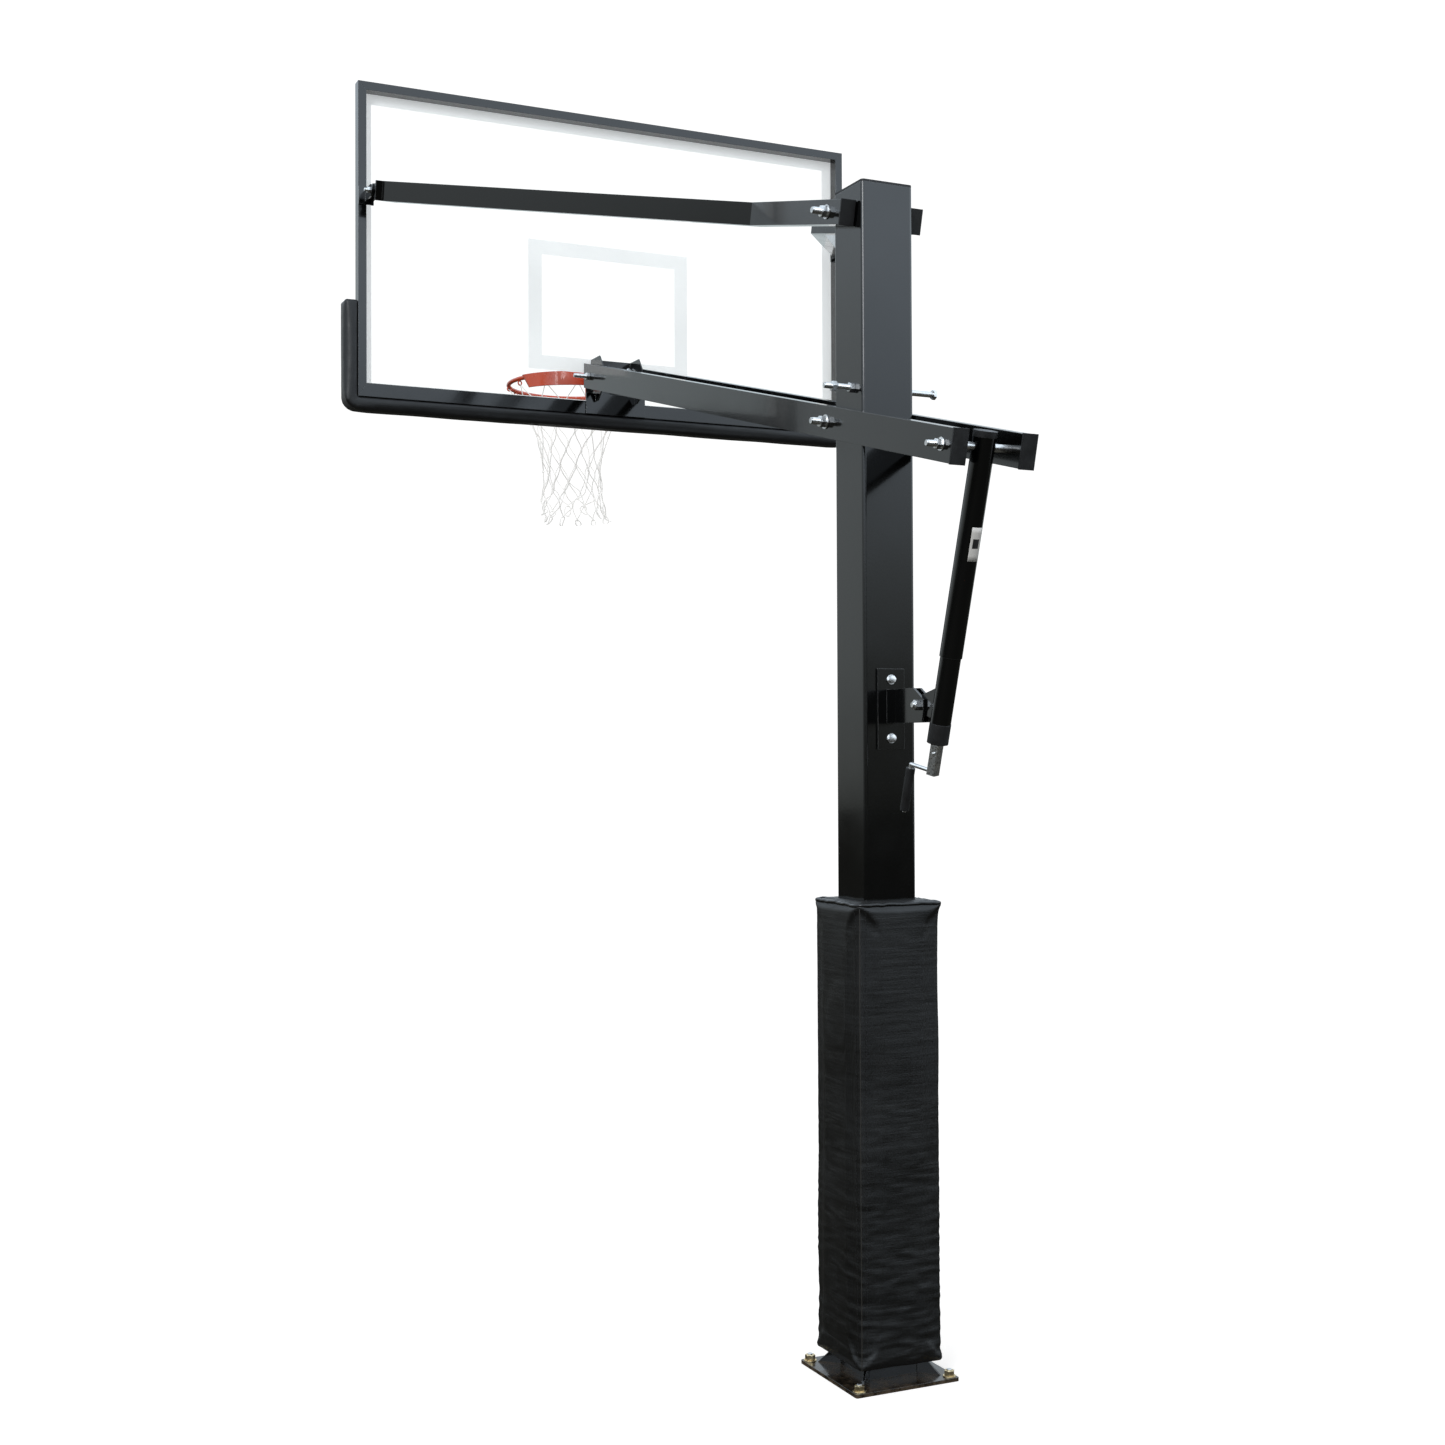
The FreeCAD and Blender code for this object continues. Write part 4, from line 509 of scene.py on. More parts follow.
class Fasteners:
    """Collects bolts, nuts and washers in one bmesh, each along an axis from a point."""

    def __init__(self):
        want = bpy.context.scene.hoop_bolts
        self.bm = bmesh.new()
        self.segments = want.segments
        self.pitch = want.pitch

    def _stack(self, rings, at, axis):
        """A closed solid through a stack of rings."""
        turn = Matrix.Translation(Vector(at)) @ AXES[axis]
        made = [[self.bm.verts.new(turn @ Vector(p)) for p in ring] for ring in rings]
        count = len(made[0])
        for low, high in zip(made, made[1:]):
            for i in range(count):
                j = (i + 1) % count
                self.bm.faces.new((low[i], low[j], high[j], high[i]))
        self.bm.faces.new(list(reversed(made[0])))
        self.bm.faces.new(made[-1])

    def hexagon(self, flats, tall, at, axis="x", turn=0.0):
        """A hexagon with the chamfer that a lathe leaves on its corners, at both ends."""
        count, half = 48, flats / 2
        face, chamfer_slope = 0.95, 0.577
        angles = [2 * math.pi * i / count + turn for i in range(count)]
        reach = [half / math.cos((a - turn) % (math.pi / 3) - math.pi / 6) for a in angles]
        fall = [max(0.0, r - half * 0.97) * chamfer_slope for r in reach]

        def ring(levels):
            return [(r * math.cos(a), r * math.sin(a), z) for r, a, z in zip(reach, angles, levels)]

        def flat(z):
            return [(half * face * math.cos(a), half * face * math.sin(a), z) for a in angles]
        low = [f * 0.6 for f in fall]
        high = [tall - f for f in fall]
        self._stack([flat(0), ring(low), ring(high), flat(tall)], at, axis)

    def round(self, radius, tall, at, axis="x", edge=0.0004):
        """A plain cylinder with its edges broken."""
        count = self.segments
        spots = [(math.cos(2 * math.pi * i / count), math.sin(2 * math.pi * i / count)) for i in range(count)]
        rings = [[(x * r, y * r, z) for x, y in spots] for r, z in
                 ((radius - edge, 0), (radius, edge), (radius, tall - edge), (radius - edge, tall))]
        self._stack(rings, at, axis)

    def thread(self, dia, long, at, axis="x"):
        """A helical thread with a chamfered end, on a plain core."""
        step = max(dia * self.pitch, 0.0011)
        depth = step * 0.5
        inner = dia / 2 - depth
        count = self.segments
        turns = max(1, int(long / step) - 1)
        turn = Matrix.Translation(Vector(at)) @ AXES[axis]
        lows, highs = [], []
        for i in range(turns * count + 1):
            a = 2 * math.pi * i / count
            z = step * i / count
            fade = min(1.0, i / (count * 0.8), (turns * count - i) / (count * 1.5))
            crest = inner + depth * max(0.02, fade)
            x, y = math.cos(a), math.sin(a)
            lows.append(self.bm.verts.new(turn @ Vector((inner * x, inner * y, z))))
            highs.append(self.bm.verts.new(turn @ Vector((crest * x, crest * y, z + step / 2))))
        for i in range(len(lows) - 1):
            self.bm.faces.new((lows[i], lows[i + 1], highs[i + 1], highs[i]))
            if i + 1 + count < len(lows):
                self.bm.faces.new((highs[i], highs[i + 1], lows[i + 1 + count], lows[i + count]))
        self.round(inner + 0.0001, long, at, axis, depth * 0.5)

    def head(self, dia, at, axis="x", turn=0.0):
        self.hexagon(dia * FLATS, dia * HEAD, at, axis, turn)

    def nut(self, dia, at, axis="x", turn=0.0):
        self.hexagon(dia * FLATS, dia * NUT, at, axis, turn)

    def bolt(self, node, dia, bare, nut_turn=None):
        """A bolt along x in place of a sub-part, threaded over bare, where nut_turn adds a nut."""
        low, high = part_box(node)
        y, z = centre(node)[1:]
        under, start = low[0] + dia * HEAD, high[0] - bare
        self.head(dia, (under, y, z), "-x")
        self.round(dia / 2, start - under, (under, y, z))
        self.thread(dia, bare, (start, y, z))
        if nut_turn is not None:
            self.nut(dia, (start, y, z), "x", nut_turn)

    def mesh(self, name):
        """The collected fasteners as one mesh. The collection ends here."""
        mesh = bpy.data.meshes.new(name)
        bmesh.ops.recalc_face_normals(self.bm, faces=self.bm.faces)
        self.bm.to_mesh(mesh)
        self.bm.free()
        shade_smooth(mesh, 32)
        return mesh

    def finish(self, name, body, *replaced):
        """The collected fasteners as one bright zinc piece."""
        piece(name, self.mesh(name), body, "zinc", replaced)


def make_fasteners():
    """Bolts, nuts, studs and washers, with real threads."""
    pivots = ("lower_pivot_bolt", "upper_pivot_bolt")
    stop = "travel_stop_bolt"
    pivot_thread, stop_thread, past_nut, stop_nut = 0.050, 0.084, 0.026, 0.036
    kit = Fasteners()
    for node in pivots:
        kit.bolt(node, BOLT_3_4, pivot_thread)
    kit.bolt(stop, BOLT_5_8, stop_thread)
    kit.finish("post_through_bolts", "post", *pivots, stop)

    kit = Fasteners()
    for node in pivots:
        y, z = centre(node)[1:]
        kit.nut(BOLT_3_4, (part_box(node)[1][0] - BOLT_3_4 * NUT - past_nut, y, z), "x", 0.3)
    y, z = centre(stop)[1:]
    kit.nut(BOLT_5_8, (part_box(stop)[1][0] - stop_nut, y, z), "x", 0.5)
    kit.nut(BOLT_5_8, (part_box("post_bolt_nuts")[0][0], y, z), "x", 0.1)
    kit.finish("post_nuts", "post", "post_bolt_nuts")

    kit = Fasteners()
    kit.bolt("jack_top_bolt", BOLT_5_8, 0.042)
    kit.finish("jack_carrier_bolt", "lower_arms", "jack_top_bolt")
    kit = Fasteners()
    washer_radius, washer_thick, nut_tall = 0.01667, 0.0027, 0.0135
    x, (y, z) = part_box("jack_top_nut")[0][0], centre("jack_top_bolt")[1:]
    kit.round(washer_radius, washer_thick, (x, y, z), "x", 0.0003)
    kit.hexagon(BOLT_5_8 * FLATS, nut_tall, (x + washer_thick, y, z), "x", 0.2)
    kit.finish("jack_carrier_nut", "lower_arms", "jack_top_nut")

    kit = Fasteners()
    kit.bolt("front_pivot_bolt", BOLT_5_8, 0.044 + BOLT_5_8 * NUT, 0.4)
    kit.finish("board_pivot_bolt", "backboard", "front_pivot_bolt")

    kit = Fasteners()
    past, grip = 0.009, 0.026
    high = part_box("side_pivot_bolts")[1][0]
    y, z = centre("side_pivot_bolts")[1:]
    nut = high - past - BOLT_1_2 * NUT
    for sign, way, back in ((1, "x", "-x"), (-1, "-x", "x")):
        ears, outer = (sign * (nut - grip), y, z), (sign * nut, y, z)
        kit.head(BOLT_1_2, ears, back)
        kit.round(BOLT_1_2 / 2, grip, ears, way)
        kit.nut(BOLT_1_2, outer, way, 0.25)
        kit.thread(BOLT_1_2, high - nut, outer, way)
    kit.finish("board_side_bolts", "backboard", "side_pivot_bolts")

    kit = Fasteners()
    kit.bolt("jack_pivot_bolt", BOLT_5_8, 0.006 + BOLT_5_8 * NUT, 0.15)
    kit.finish("jack_bracket_pivot", "post", "jack_pivot_bolt")

    repeated_fasteners()


def repeated_fasteners():
    """Fasteners that come in sets, placed by Geometry Nodes."""
    def place_set(name, kit, spots, coat, body, node, turn=False):
        mesh = scattered(name, kit.mesh(name + "_one"), spots, coat, turn)
        piece(name, mesh, body, None, (node,))

    low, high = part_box("anchor_studs")
    half = high[0] - 0.00794
    corners = [(x, y) for x in (-half, half) for y in (-half, half)]
    plain_top = 0.010
    kit = Fasteners()
    kit.round(BOLT_5_8 / 2, -low[2] + plain_top, (0, 0, low[2]), "z")
    kit.thread(BOLT_5_8, high[2] - plain_top, (0, 0, plain_top), "z")
    place_set("anchor_stud_set", kit, [(x, y, 0) for x, y in corners], "zinc", "post", "anchor_studs")
    kit = Fasteners()
    kit.nut(BOLT_5_8, (0, 0, 0), "z")
    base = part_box("anchor_nuts")[0][2]
    spots = [(x, y, base, (0, 0, t)) for (x, y), t in zip(corners, (0.2, 0.9, 0.5, 0.05))]
    place_set("anchor_nut_set", kit, spots, "gold_zinc", "post", "anchor_nuts", True)
    kit = Fasteners()
    kit.round(0.017, 0.0028, (0, 0, 0), "z")
    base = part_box("anchor_washers")[0][2]
    spots = [(x, y, base) for x, y in corners]
    place_set("anchor_washer_set", kit, spots, "gold_zinc", "post", "anchor_washers")

    low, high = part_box("jack_bracket_bolts")
    washer, washer_thick, plate = (high[0] - low[0]) / 2, 0.002, 0.006
    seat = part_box("jack_bracket")[0][1] + plate
    kit = Fasteners()
    kit.head(BOLT_1_2, (0, washer_thick, 0), "y", 0.2)
    kit.round(washer, washer_thick, (0, 0, 0), "y", 0.0005)
    kit.round(BOLT_1_2 / 2, seat - low[1], (0, low[1] - seat, 0), "y")
    pair = [(0, seat, low[2] + washer), (0, seat, high[2] - washer)]
    place_set("bracket_bolt_set", kit, pair, "zinc", "post", "jack_bracket_bolts")

    low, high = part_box("rim_bolts")
    front, back = low[1] + BOLT_3_8 * HEAD, high[1] - 0.016
    kit = Fasteners()
    kit.head(BOLT_3_8, (0, 0, 0), "-y", 0.1)
    kit.round(BOLT_3_8 / 2, back - front, (0, 0, 0), "y")
    kit.nut(BOLT_3_8, (0, back - front, 0), "y", 0.35)
    kit.thread(BOLT_3_8, high[1] - back, (0, back - front, 0), "y")
    across, apart = 0.0635, 0.0508
    mid = (low[2] + high[2]) / 2
    spots = [(x, front, mid + z) for x in (-across, across) for z in (-apart, apart)]
    place_set("rim_bolt_set", kit, spots, "zinc", "backboard", "rim_bolts")


# ---- springs ----

def make_springs():
    """Two coil springs that flatten towards their shelf as the rim dips."""
    low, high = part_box("rim_springs")
    wire, radius, turns, ring = 0.0018, 0.0102, 8, 20
    tall = high[2] - low[2] - 2 * wire
    closed_end = 0.09
    points = []
    for i in range(turns * ring + 1):
        share = i / (turns * ring)
        a = 2 * math.pi * turns * share
        risen = min(1, max(0, (share - closed_end) / (1 - 2 * closed_end)))
        height = low[2] + wire + tall * (0.03 * share + 0.97 * risen)
        points.append((radius * math.cos(a), radius * math.sin(a), height))
    y = (low[1] + high[1]) / 2
    spots = [(-0.020, y, 0, (0, 0, 0.4)), (0.020, y, 0, (0, 0, 2.1))]
    mesh = scattered("rim_coils", tube("coil", points, wire, facets=3), spots, "plain_steel", True)
    obj = piece("rim_coils", mesh, "backboard", None, ("rim_springs",))
    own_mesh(obj)


# ---- net ----

ROW_STEPS = 6


def net_path(want, top, low, radius, side):
    """One cord from its hook down to the hem, which moves half a hook's spacing round the net in each row."""
    rows, step = want.rows, math.pi / want.loops
    fall = [0.0, 0.19, 0.36, 0.51, 0.645, 0.765, 0.87, 0.955]
    levels = [fall[min(i, len(fall) - 1)] for i in range(rows + 1)]
    points = []
    for row in range(rows):
        for part in range(ROW_STEPS):
            share = part / ROW_STEPS
            eased = share * share * (3 - 2 * share)
            swing = row + 0.35 * share + 0.65 * eased
            down = levels[row] + (levels[row + 1] - levels[row]) * share
            points.append((side * step * swing, down))
    points.append((side * step * rows, levels[rows]))
    waist_at, hem_from, flare = 0.62, 0.8, 0.014
    made = []
    for angle, down in points:
        taper = min(1.0, down / waist_at)
        reach = radius + (want.waist - radius) * (1 - (1 - taper) ** 1.7)
        reach += flare * max(0.0, (down - hem_from) / (1 - hem_from)) ** 1.5
        made.append(Vector((reach * math.cos(angle), reach * math.sin(angle), top + (low - top) * down)))
    return made


def knot_path(reach, height, cord):
    """Two turns of cord round a crossing."""
    steps, points = 15, []
    for i in range(steps):
        a = 2 * math.pi * 2 * i / steps
        points.append((reach + cord * 1.1 * math.sin(a), cord * 1.25 * math.cos(a),
                       height + cord * (i / steps - 0.5) * 3.2))
    return points


def tail_path(reach, height):
    """A loose loop of cord below the hem."""
    steps, wide, long, lean, twist = 24, 0.013, 0.036, 0.016, 0.004
    points = []
    for i in range(steps + 1):
        a = 2 * math.pi * i / steps
        side = wide * math.sin(a) * (0.55 + 0.45 * math.cos(a / 2) ** 2)
        drop = 0.5 - 0.5 * math.cos(a)
        points.append((reach + lean * drop ** 2 - twist * math.sin(a), side, height - long * drop))
    return points


def tangle(mesh, top, hem, mess):
    """Moves the cords off their even pattern, more and more towards the hem."""
    sway_gain, fine_gain, sag = 1.577973, 0.45, 0.010
    for vert in mesh.vertices:
        depth = max(0.0, (top - vert.co.z) / (top - hem))
        loose_by = mess * min(1.15, depth ** 1.3)
        seed = vert.co * 9.0
        sway = Vector([noise.noise(seed + Vector(k)) for k in ((3.1, 0, 7), (11, 5.2, 0), (0, 9.7, 21))])
        fine = Vector([noise.noise(vert.co * 26.0 + Vector(k)) for k in ((1, 4, 9), (8, 2, 5), (6, 6, 1))])
        vert.co += sway * loose_by * sway_gain + fine * loose_by * fine_gain
        floor = hem - sag
        if vert.co.z < floor:
            vert.co.z = floor + (vert.co.z - floor) * 0.2


def make_net():
    """The net: two cords from each hook, knotted where they cross, with loose loops at the hem."""
    want = bpy.context.scene.hoop_net
    hook_inset, hook_rise, hem_rise = 0.0105, 0.005, 0.012
    ring_low, ring_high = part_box("rim_ring")
    middle = centre("rim_ring")
    ring_radius = (ring_high[0] - ring_low[0]) / 2 - hook_inset
    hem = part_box("net")[0][2] + hem_rise
    top = ring_low[2] + hook_rise + want.cord
    hooks = [(2 * math.pi * (i + 0.5) / want.loops) for i in range(want.loops)]

    def hung(name, points, radius, shift=0.0):
        """A copy of one cord at each hook, turned further round by shift."""
        spots = [(middle[0], middle[1], 0, (0, 0, a + shift)) for a in hooks]
        return scattered(name, tube(name + "_cord", points, radius), spots, "white_cord", True)

    paths = [net_path(want, top, hem, ring_radius, side) for side in (-1, 1)]
    meshes = [hung(f"strands_{i}", path, want.cord) for i, path in enumerate(paths)]
    for row in range(1, want.rows + 1):
        at = paths[1][row * ROW_STEPS]
        reach = math.hypot(at[0], at[1])
        shift = math.pi / want.loops * (row % 2)
        meshes.append(hung(f"knots_{row}", knot_path(reach, at[2], want.cord), want.cord * 0.95, shift))
    meshes.append(hung("tails", tail_path(reach, at[2]), want.cord, shift))
    bm = bmesh.new()
    for part in meshes:
        bm.from_mesh(part)
    mesh = bpy.data.meshes.new("net_cords")
    bm.to_mesh(mesh)
    bm.free()
    shade_smooth(mesh)
    tangle(mesh, top, hem, want.mess)
    piece("net_cords", mesh, "rim", "white_cord", ("net",))


# ---- pads ----

def inflated(name, source, cap, hold):
    """Remesh a copy of a CAD solid, swell it with cloth pressure, and let no point move further than cap."""
    scene = bpy.context.scene
    want = scene.hoop_pads
    obj = loose(name, source.data.copy())
    obj.data.name = name
    remesh = obj.modifiers.new("voxels", "REMESH")
    remesh.mode = "VOXEL"
    remesh.voxel_size = want.voxel
    obj.data = applied(obj)
    obj.modifiers.clear()
    rest = [v.co.copy() for v in obj.data.vertices]
    pinned = obj.vertex_groups.new(name="held")
    pinned.add([i for i, p in enumerate(rest) if hold(p)], 1.0, "REPLACE")
    cloth = obj.modifiers.new("cloth", "CLOTH")
    cloth.settings.use_pressure = True
    cloth.settings.uniform_pressure_force = want.pressure
    cloth.settings.effector_weights.gravity = 0
    cloth.settings.vertex_group_mass = "held"
    cloth.settings.quality = 4
    cloth.settings.tension_stiffness = 12
    cloth.settings.bending_stiffness = 0.6
    cloth.collision_settings.use_collision = False
    for step in range(1, want.frames + 1):
        scene.frame_set(step)
    swollen = applied(obj)
    scene.frame_set(1)
    obj.modifiers.clear()
    obj.vertex_groups.clear()
    for vert, now, was in zip(obj.data.vertices, swollen.vertices, rest):
        move = now.co - was
        if move.length > cap:
            move = move * (cap / move.length)
        vert.co = was + move
    return obj


def finish_pad(obj, material, body, replaced):
    """A swollen pad becomes a soft piece on its body."""
    obj.data.materials.clear()
    obj.data.materials.append(MATERIALS[material])
    shade_smooth(obj.data)
    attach(obj, body)
    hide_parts(*replaced)


def make_post_pad():
    """The post pad's cover: swollen, with a drooping top, creases that run round it, and a piped corner."""
    want = bpy.context.scene.hoop_pads
    crease, pucker, sag = 0.0030, 0.0016, 0.0030
    top_from, top_wave, top_droop, corner_lift = 0.94, 0.004, 0.006, 0.006
    low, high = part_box("post_pad_foam")
    outer = high[0]
    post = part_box("post_tube")[1][0]
    reach = (outer + post) / 2

    def hold(p):
        return max(abs(p.x), abs(p.y)) < reach

    obj = inflated("post_pad", NODES["post_pad_foam"], want.post_cap, hold)
    mesh = obj.data
    tall = high[2] - low[2]
    normals = [v.normal.copy() for v in mesh.vertices]
    for vert, normal in zip(mesh.vertices, normals):
        p = vert.co
        if hold(p):
            continue
        share = (p.z - low[2]) / tall
        worn = max(0.15, 1.0 - share * 1.25)
        around = math.atan2(p.y, p.x)
        band = noise.noise(Vector((around * 1.1, p.z * 30, 3)))
        fine = noise.noise(Vector((p.x * 16, p.y * 16, p.z * 75)))
        broad = noise.noise(Vector((p.x * 4, p.y * 4, p.z * 5 + 8)))
        ridge = max(0, 0.55 - abs(band) * 2)
        vert.co += normal * (crease * worn * ridge + pucker * worn * fine + sag * broad)
        top = max(0.0, (share - top_from) / (1 - top_from))
        edge = (max(abs(p.x), abs(p.y)) - reach) / (outer - reach)
        wave = top_wave * noise.noise(Vector((p.x * 14, p.y * 14, 1)))
        vert.co.z += top ** 4 * (wave - top_droop * edge ** 2)
        corner = max(0.0, -p.x / outer) * max(0.0, p.y / outer)
        vert.co += Vector((-1, 1, 0)) * (corner_lift * top ** 2 * corner)
    finish_pad(obj, "black_vinyl", "post", ("post_pad_foam", "post_pad_cover"))
    corner_trim(obj, low, high)
    top_binding(obj, high)


def top_binding(pad, high):
    """A glossy folded edge round the pad's top, which dips and rises a little between its corners."""
    seen_at, runs_at, inset, radius = high[2] - 0.014, high[2] - 0.0075, 0.004, 0.0055
    skin = pad.evaluated_get(bpy.context.evaluated_depsgraph_get())
    points, count = [], 160
    for i in range(count):
        a = 2 * math.pi * i / count
        out = Vector((math.cos(a), math.sin(a), 0))
        hit, spot, *_ = skin.ray_cast(out * 0.3 + Vector((0, 0, seen_at)), -out)
        if hit:
            wave = 0.0035 * noise.noise(out * 3.1) + 0.0016 * noise.noise(out * 9.0)
            points.append(Vector((spot.x, spot.y, runs_at + wave)) - out * inset)
    piece("post_pad_binding", tube("binding", points, radius, True), "post", "binding")


def corner_trim(pad, low, high):
    """Light piping down the near corner, and a row of stitches down each face beside it."""
    skin = pad.evaluated_get(bpy.context.evaluated_depsgraph_get())
    clear = 0.05
    steps, end, radius = 90, 0.006, 0.0014
    outward = Vector((1, 1, 0)).normalized()
    points = []
    for i in range(steps + 1):
        z = low[2] + end + (high[2] - low[2] - 2 * end) * i / steps
        hit, spot, *_ = skin.ray_cast(Vector((high[0] + clear, high[1] + clear, z)), -outward)
        if hit:
            wave = 0.0006 * noise.noise(Vector((0, 2, z * 18)))
            points.append(spot + outward * 0.0004 + Vector((wave, -wave, 0)))
    piece("post_pad_piping", tube("piping", points, radius), "post", "piping")
    count, end, beside = 130, 0.02, 0.022
    rows = ((Vector((high[0] - beside, high[1] + clear, 0)), Vector((0, -1, 0)), math.pi / 2),
            (Vector((high[0] + clear, high[1] - beside, 0)), Vector((-1, 0, 0)), 0.0))
    spots = []
    for i in range(count):
        z = low[2] + end + (high[2] - low[2] - 2 * end) * i / (count - 1)
        for start, ray, turn in rows:
            hit, spot, *_ = skin.ray_cast(start + Vector((0, 0, z)), ray)
            if hit:
                spots.append((spot.x, spot.y, spot.z, (0, 0, turn)))
    half, rise, thread = 0.003, 0.0006, 0.0005
    stitch = tube("stitch", [(0, 0, -half), (rise, 0, -half / 2), (rise, 0, half / 2), (0, 0, half)], thread)
    mesh = scattered("post_pad_stitches", stitch, spots, "thread", True)
    piece("post_pad_stitches", mesh, "post", None)


def make_board_pad():
    """The U-shaped pad under the board, with softened corners."""
    want = bpy.context.scene.hoop_pads
    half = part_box("frame_rail_left")[1][0]
    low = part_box("board_pad")[0]
    dents = 0.0012

    def hold(p):
        return abs(p.x) < half + 0.004 and p.z > low[2] + 0.035

    obj = inflated("board_pad_foam", NODES["board_pad"], want.board_cap, hold)
    mesh = obj.data
    normals = [v.normal.copy() for v in mesh.vertices]
    for vert, normal in zip(mesh.vertices, normals):
        p = vert.co
        if hold(p):
            continue
        vert.co += normal * dents * noise.noise(Vector((p.x * 7, p.y * 9, p.z * 7)))
    finish_pad(obj, "black_foam", "backboard", ("board_pad",))


# ---- label ----

def make_label():
    """A blank label on the jack tube, bent round it."""
    joint = next(j for j in frame["joints"] if j["name"] == "jack_extend")
    down = Vector(joint["axis"]).normalized()
    top = centre("jack_top_bolt")
    top.x = 0
    side = Vector((1, 0, 0))
    rear = down.cross(side).normalized()
    if rear.y < 0:
        rear = -rear
    start, long, radius, thick = 0.190, 0.083, 0.0288, 0.0003
    first, sweep, cols, rows = 66, 62, 12, 6
    bm = bmesh.new()
    layer = bm.loops.layers.uv.new("UVMap")
    grid = []
    for r in range(rows + 1):
        line = []
        for c in range(cols + 1):
            a = math.radians(first + sweep * c / cols)
            spot = top + down * (start + long * r / rows)
            line.append(bm.verts.new(spot + (side * math.cos(a) + rear * math.sin(a)) * radius))
        grid.append(line)
    for r in range(rows):
        for c in range(cols):
            face = bm.faces.new((grid[r][c], grid[r][c + 1], grid[r + 1][c + 1], grid[r + 1][c]))
            for loop, (u, v) in zip(face.loops, ((c, r), (c + 1, r), (c + 1, r + 1), (c, r + 1))):
                loop[layer].uv = (u / cols, 1 - v / rows)
    mesh = bpy.data.meshes.new("jack_label")
    bm.to_mesh(mesh)
    bm.free()
    shade_smooth(mesh)
    obj = loose("label_flat", mesh)
    solid = obj.modifiers.new("thick", "SOLIDIFY")
    solid.thickness = thick
    solid.offset = 1
    mesh = applied(obj)
    bpy.data.objects.remove(obj)
    piece("jack_label", mesh, "jack_outer", "label")


# ---- stage ----

def make_camera():
    """The camera: radians, metres, and millimetres for its lens and sensor."""
    yaw, pitch, roll = 0.4383, 0.0149, -0.0039
    place, sensor, lens = (2.43706, 4.24711, 1.63531), 36, 46.026684
    ahead = Vector((-math.sin(yaw) * math.cos(pitch), -math.cos(yaw) * math.cos(pitch), math.sin(pitch)))
    level = Vector((-math.cos(yaw), math.sin(yaw), 0))
    above = level.cross(ahead)
    right = level * math.cos(roll) + above * math.sin(roll)
    up = above * math.cos(roll) - level * math.sin(roll)
    cam = bpy.data.cameras.new("camera")
    cam.sensor_width = sensor
    cam.lens = lens
    cam.clip_end = 200
    obj = loose("camera", cam)
    turn = Matrix((right, up, -ahead)).transposed().to_4x4()
    obj.matrix_world = Matrix.Translation(place) @ turn
    bpy.context.scene.camera = obj


def make_floor():
    """A plain pale floor, which lights and reflections take as dull and dark."""
    reach, level = 40, -0.0005
    corners = [(x, y, level) for x, y in ((-reach, -reach), (reach, -reach), (reach, reach), (-reach, reach))]
    mesh = bpy.data.meshes.new("floor")
    mesh.from_pydata(corners, [], [(0, 1, 2, 3)])
    floor = loose("floor", mesh)
    mat, tree = new_material("pale_floor")
    shade = grain(tree, object_coords(tree), 0.6, 3)
    pale = add_node(tree, "ShaderNodeBsdfPrincipled", {
        "Base Color": mix(tree, shade, srgb("#FBFBFB"), srgb("#F8F8F8")), "Roughness": 0.9,
        "Specular IOR Level": 0.1, "Emission Color": (1, 1, 1, 1), "Emission Strength": 0.5})
    dark = add_node(tree, "ShaderNodeBsdfDiffuse", {"Color": srgb("#4A4A45")})
    seen = add_node(tree, "ShaderNodeLightPath").outputs["Is Camera Ray"]
    both = add_node(tree, "ShaderNodeMixShader", {0: seen, 1: dark.outputs[0], 2: pale.outputs[0]})
    close(tree, both.outputs[0])
    mesh.materials.append(mat)


def area_light(name, at, aim, size, power, colour="#FFFFFF"):
    """A soft rectangular lamp, aimed at a point."""
    lamp = bpy.data.lights.new(name, "AREA")
    lamp.shape = "RECTANGLE"
    lamp.size, lamp.size_y = size
    lamp.energy = power
    lamp.color = srgb(colour)[:3]
    obj = loose(name, lamp)
    obj.location = at
    obj.rotation_euler = (Vector(aim) - Vector(at)).to_track_quat("-Z", "Y").to_euler()
    obj.visible_camera = False


def sky_ramp(tree, place, stops, low, high):
    """Brightness by height, from a dark ground colour to a bluish sky colour."""
    ramp = add_node(tree, "ShaderNodeValToRGB", {0: place})
    line = ramp.color_ramp
    while len(line.elements) < len(stops):
        line.elements.new(0.5)
    for item, (at, level) in zip(line.elements, stops):
        share = min(1.0, level / 0.5)
        tint = [a + (b - a) * share for a, b in zip(low, high)]
        item.position = at
        item.color = (*(level * t for t in tint), 1)
    return ramp.outputs[0]


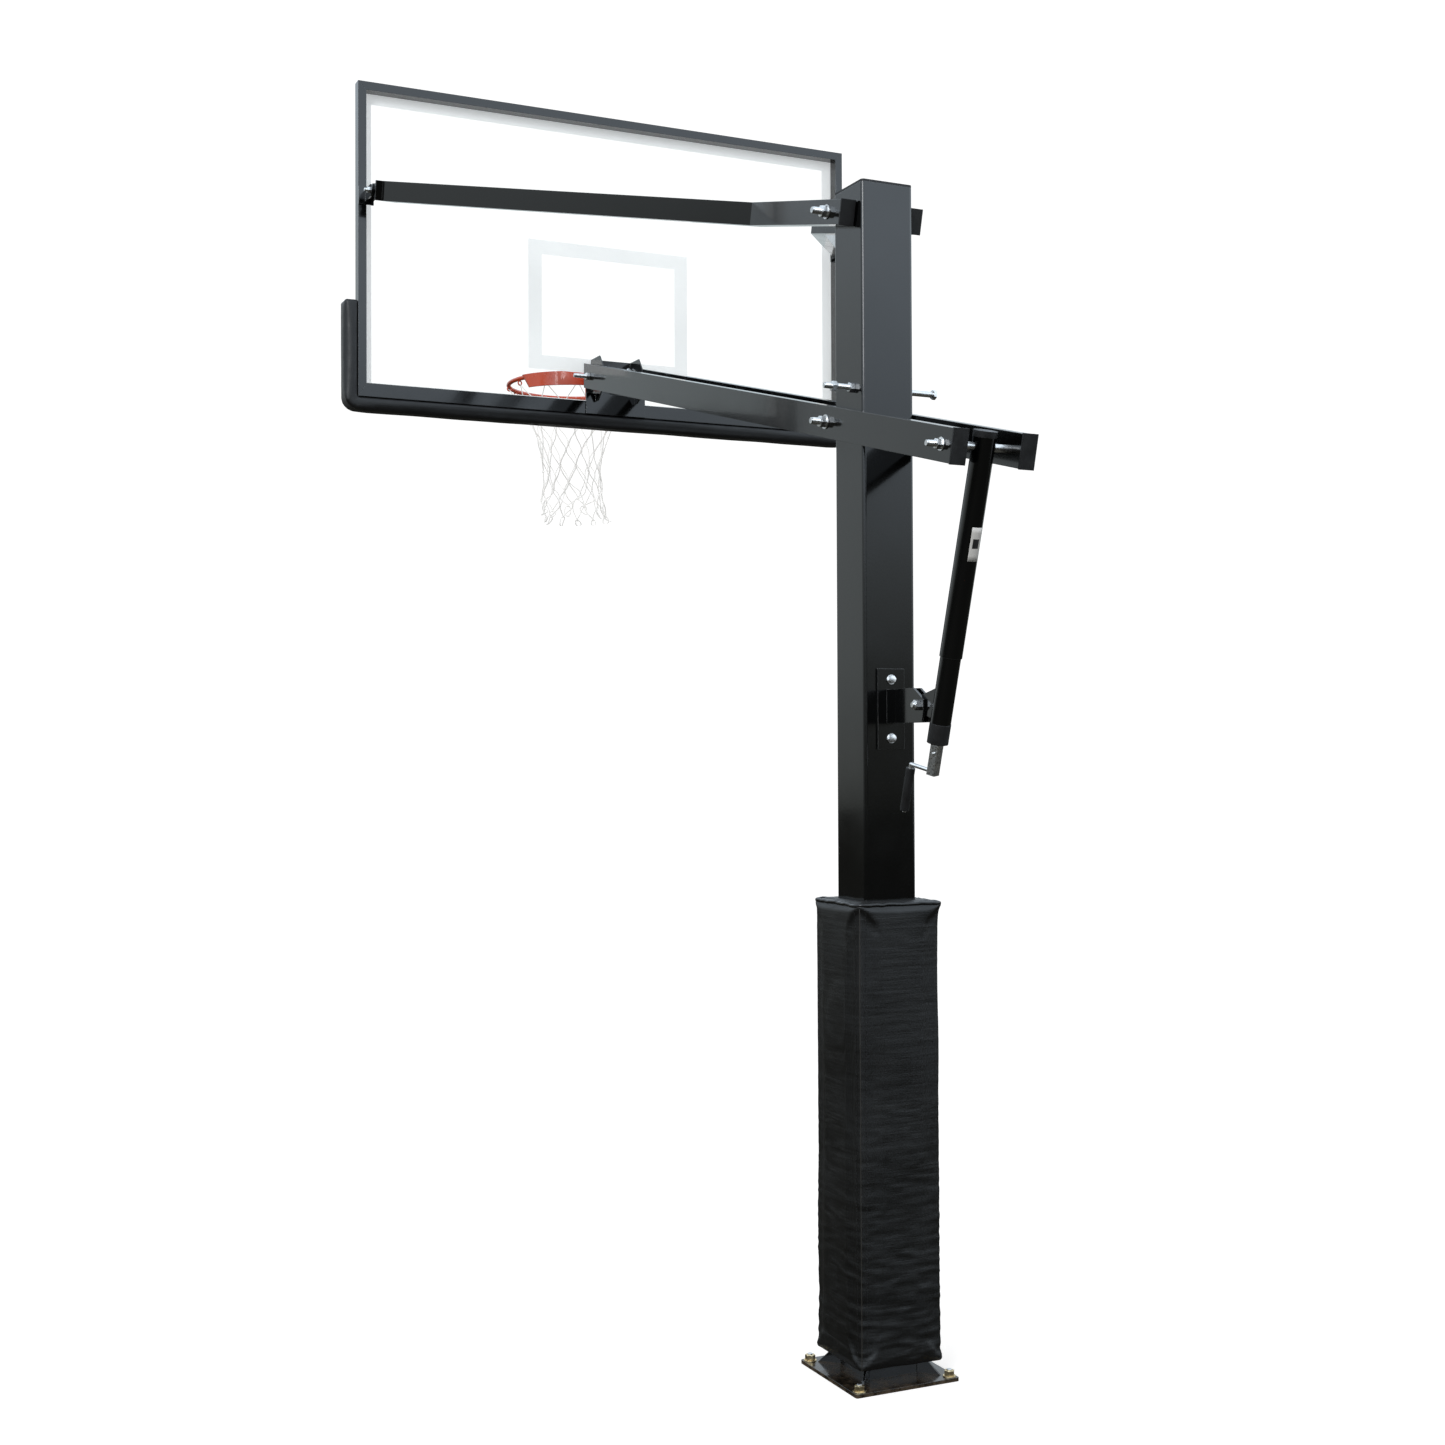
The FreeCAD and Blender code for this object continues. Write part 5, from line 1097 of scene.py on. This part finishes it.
def make_world(sky):
    """White behind everything; reflections see a dark ground line and a bluish sky, brighter to the rear."""
    world = bpy.data.worlds.new("studio")
    world.use_nodes = True
    tree = world.node_tree
    tree.nodes.clear()
    where = add_node(tree, "ShaderNodeTexCoord").outputs["Generated"]
    axes = add_node(tree, "ShaderNodeSeparateXYZ", {0: where})
    uneven = remap(tree, grain(tree, where, 5, 5, 0.6), 0.3, 0.7, -0.025, 0.025)
    height = add(tree, axes.outputs[2], uneven)
    place = remap(tree, height, -0.2, 0.8)
    ground, blue = (0.95, 0.98, 0.86), (0.84, 0.96, 1.08)
    rear = [(0.0, 0.05), (0.18, 0.07), (0.235, 0.10), (0.30, 0.34), (0.36, 0.60), (0.45, 0.88), (1.0, 0.62)]
    front = [(0.0, 0.05), (0.14, 0.09), (0.18, 0.19), (0.24, 0.26), (0.40, 0.32), (0.60, 0.50), (1.0, 0.62)]
    split = remap(tree, axes.outputs[1], -0.35, 0.35)
    both = mix(tree, split, *(sky_ramp(tree, place, stops, ground, blue) for stops in (front, rear)))
    paths = add_node(tree, "ShaderNodeLightPath")
    white = (1, 1, 1, 1)
    mirror = add_node(tree, "ShaderNodeBackground", {"Color": both, "Strength": 2.1 * sky})
    soft = add_node(tree, "ShaderNodeBackground", {"Color": white, "Strength": 0.6})
    plain = add_node(tree, "ShaderNodeBackground", {"Color": white, "Strength": 1.08})
    lit = add_node(tree, "ShaderNodeMixShader", {
        0: paths.outputs["Is Glossy Ray"], 1: soft.outputs[0], 2: mirror.outputs[0]})
    pick = add_node(tree, "ShaderNodeMixShader", {
        0: paths.outputs["Is Camera Ray"], 1: lit.outputs[0], 2: plain.outputs[0]})
    out = add_node(tree, "ShaderNodeOutputWorld")
    tree.links.new(pick.outputs[0], out.inputs["Surface"])
    bpy.context.scene.world = world


def make_stage():
    """Camera, floor, sky and two soft lamps."""
    want = bpy.context.scene.hoop_stage
    make_camera()
    make_floor()
    make_world(want.sky)
    area_light("key", (5.5, 4.5, 5.5), (0, -0.6, 2.2), (3, 3), want.key)
    area_light("fill", (-5, 3.5, 3.0), (0, -0.6, 1.8), (3, 4), want.key * 0.12, "#E8F0FA")
    scene = bpy.context.scene
    scene.view_settings.view_transform = "Standard"
    scene.view_settings.look = "None"


# ---- add-on ----

def operator(name, title, work):
    """An operator class that runs one making function, and takes its docstring."""
    def execute(self, context):
        work()
        return {"FINISHED"}
    return type("HOOP_OT_" + name, (bpy.types.Operator,), {
        "__doc__": work.__doc__, "bl_idname": "hoop." + name, "bl_label": title,
        "bl_options": {"REGISTER", "UNDO"}, "execute": execute})


SETTINGS = {"hoop_net": NetSettings, "hoop_pads": PadSettings, "hoop_bolts": BoltSettings,
            "hoop_stage": StageSettings}
STEPS = (("stage", "Stage and camera", make_stage), ("materials", "Materials", make_materials),
         ("fasteners", "Fasteners", make_fasteners), ("springs", "Rim springs", make_springs),
         ("net", "Net", make_net), ("post_pad", "Post pad", make_post_pad),
         ("board_pad", "Board pad", make_board_pad), ("label", "Jack label", make_label))
OPERATORS = [operator(*step) for step in STEPS]


class HOOP_PT_panel(bpy.types.Panel):
    """Buttons for the making steps, and the settings that they read."""
    bl_label = "Basketball Hoop"
    bl_idname = "HOOP_PT_panel"
    bl_space_type = "VIEW_3D"
    bl_region_type = "UI"
    bl_category = "Hoop"

    def draw(self, context):
        for name, *_ in STEPS:
            self.layout.operator("hoop." + name)
        for setting, group in SETTINGS.items():
            for field in group.__annotations__:
                self.layout.prop(getattr(context.scene, setting), field)


def register():
    for group in [*SETTINGS.values(), *OPERATORS, HOOP_PT_panel]:
        bpy.utils.register_class(group)
    for name, group in SETTINGS.items():
        setattr(bpy.types.Scene, name, PointerProperty(type=group))


def unregister():
    for name in SETTINGS:
        delattr(bpy.types.Scene, name)
    for group in [HOOP_PT_panel, *reversed(OPERATORS), *SETTINGS.values()]:
        bpy.utils.unregister_class(group)


def main():
    """Runs every step, and writes the part's box before and after."""
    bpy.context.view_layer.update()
    for name, *_ in STEPS:
        getattr(bpy.ops.hoop, name)()


if __name__ == "__main__":
    register()
    main()
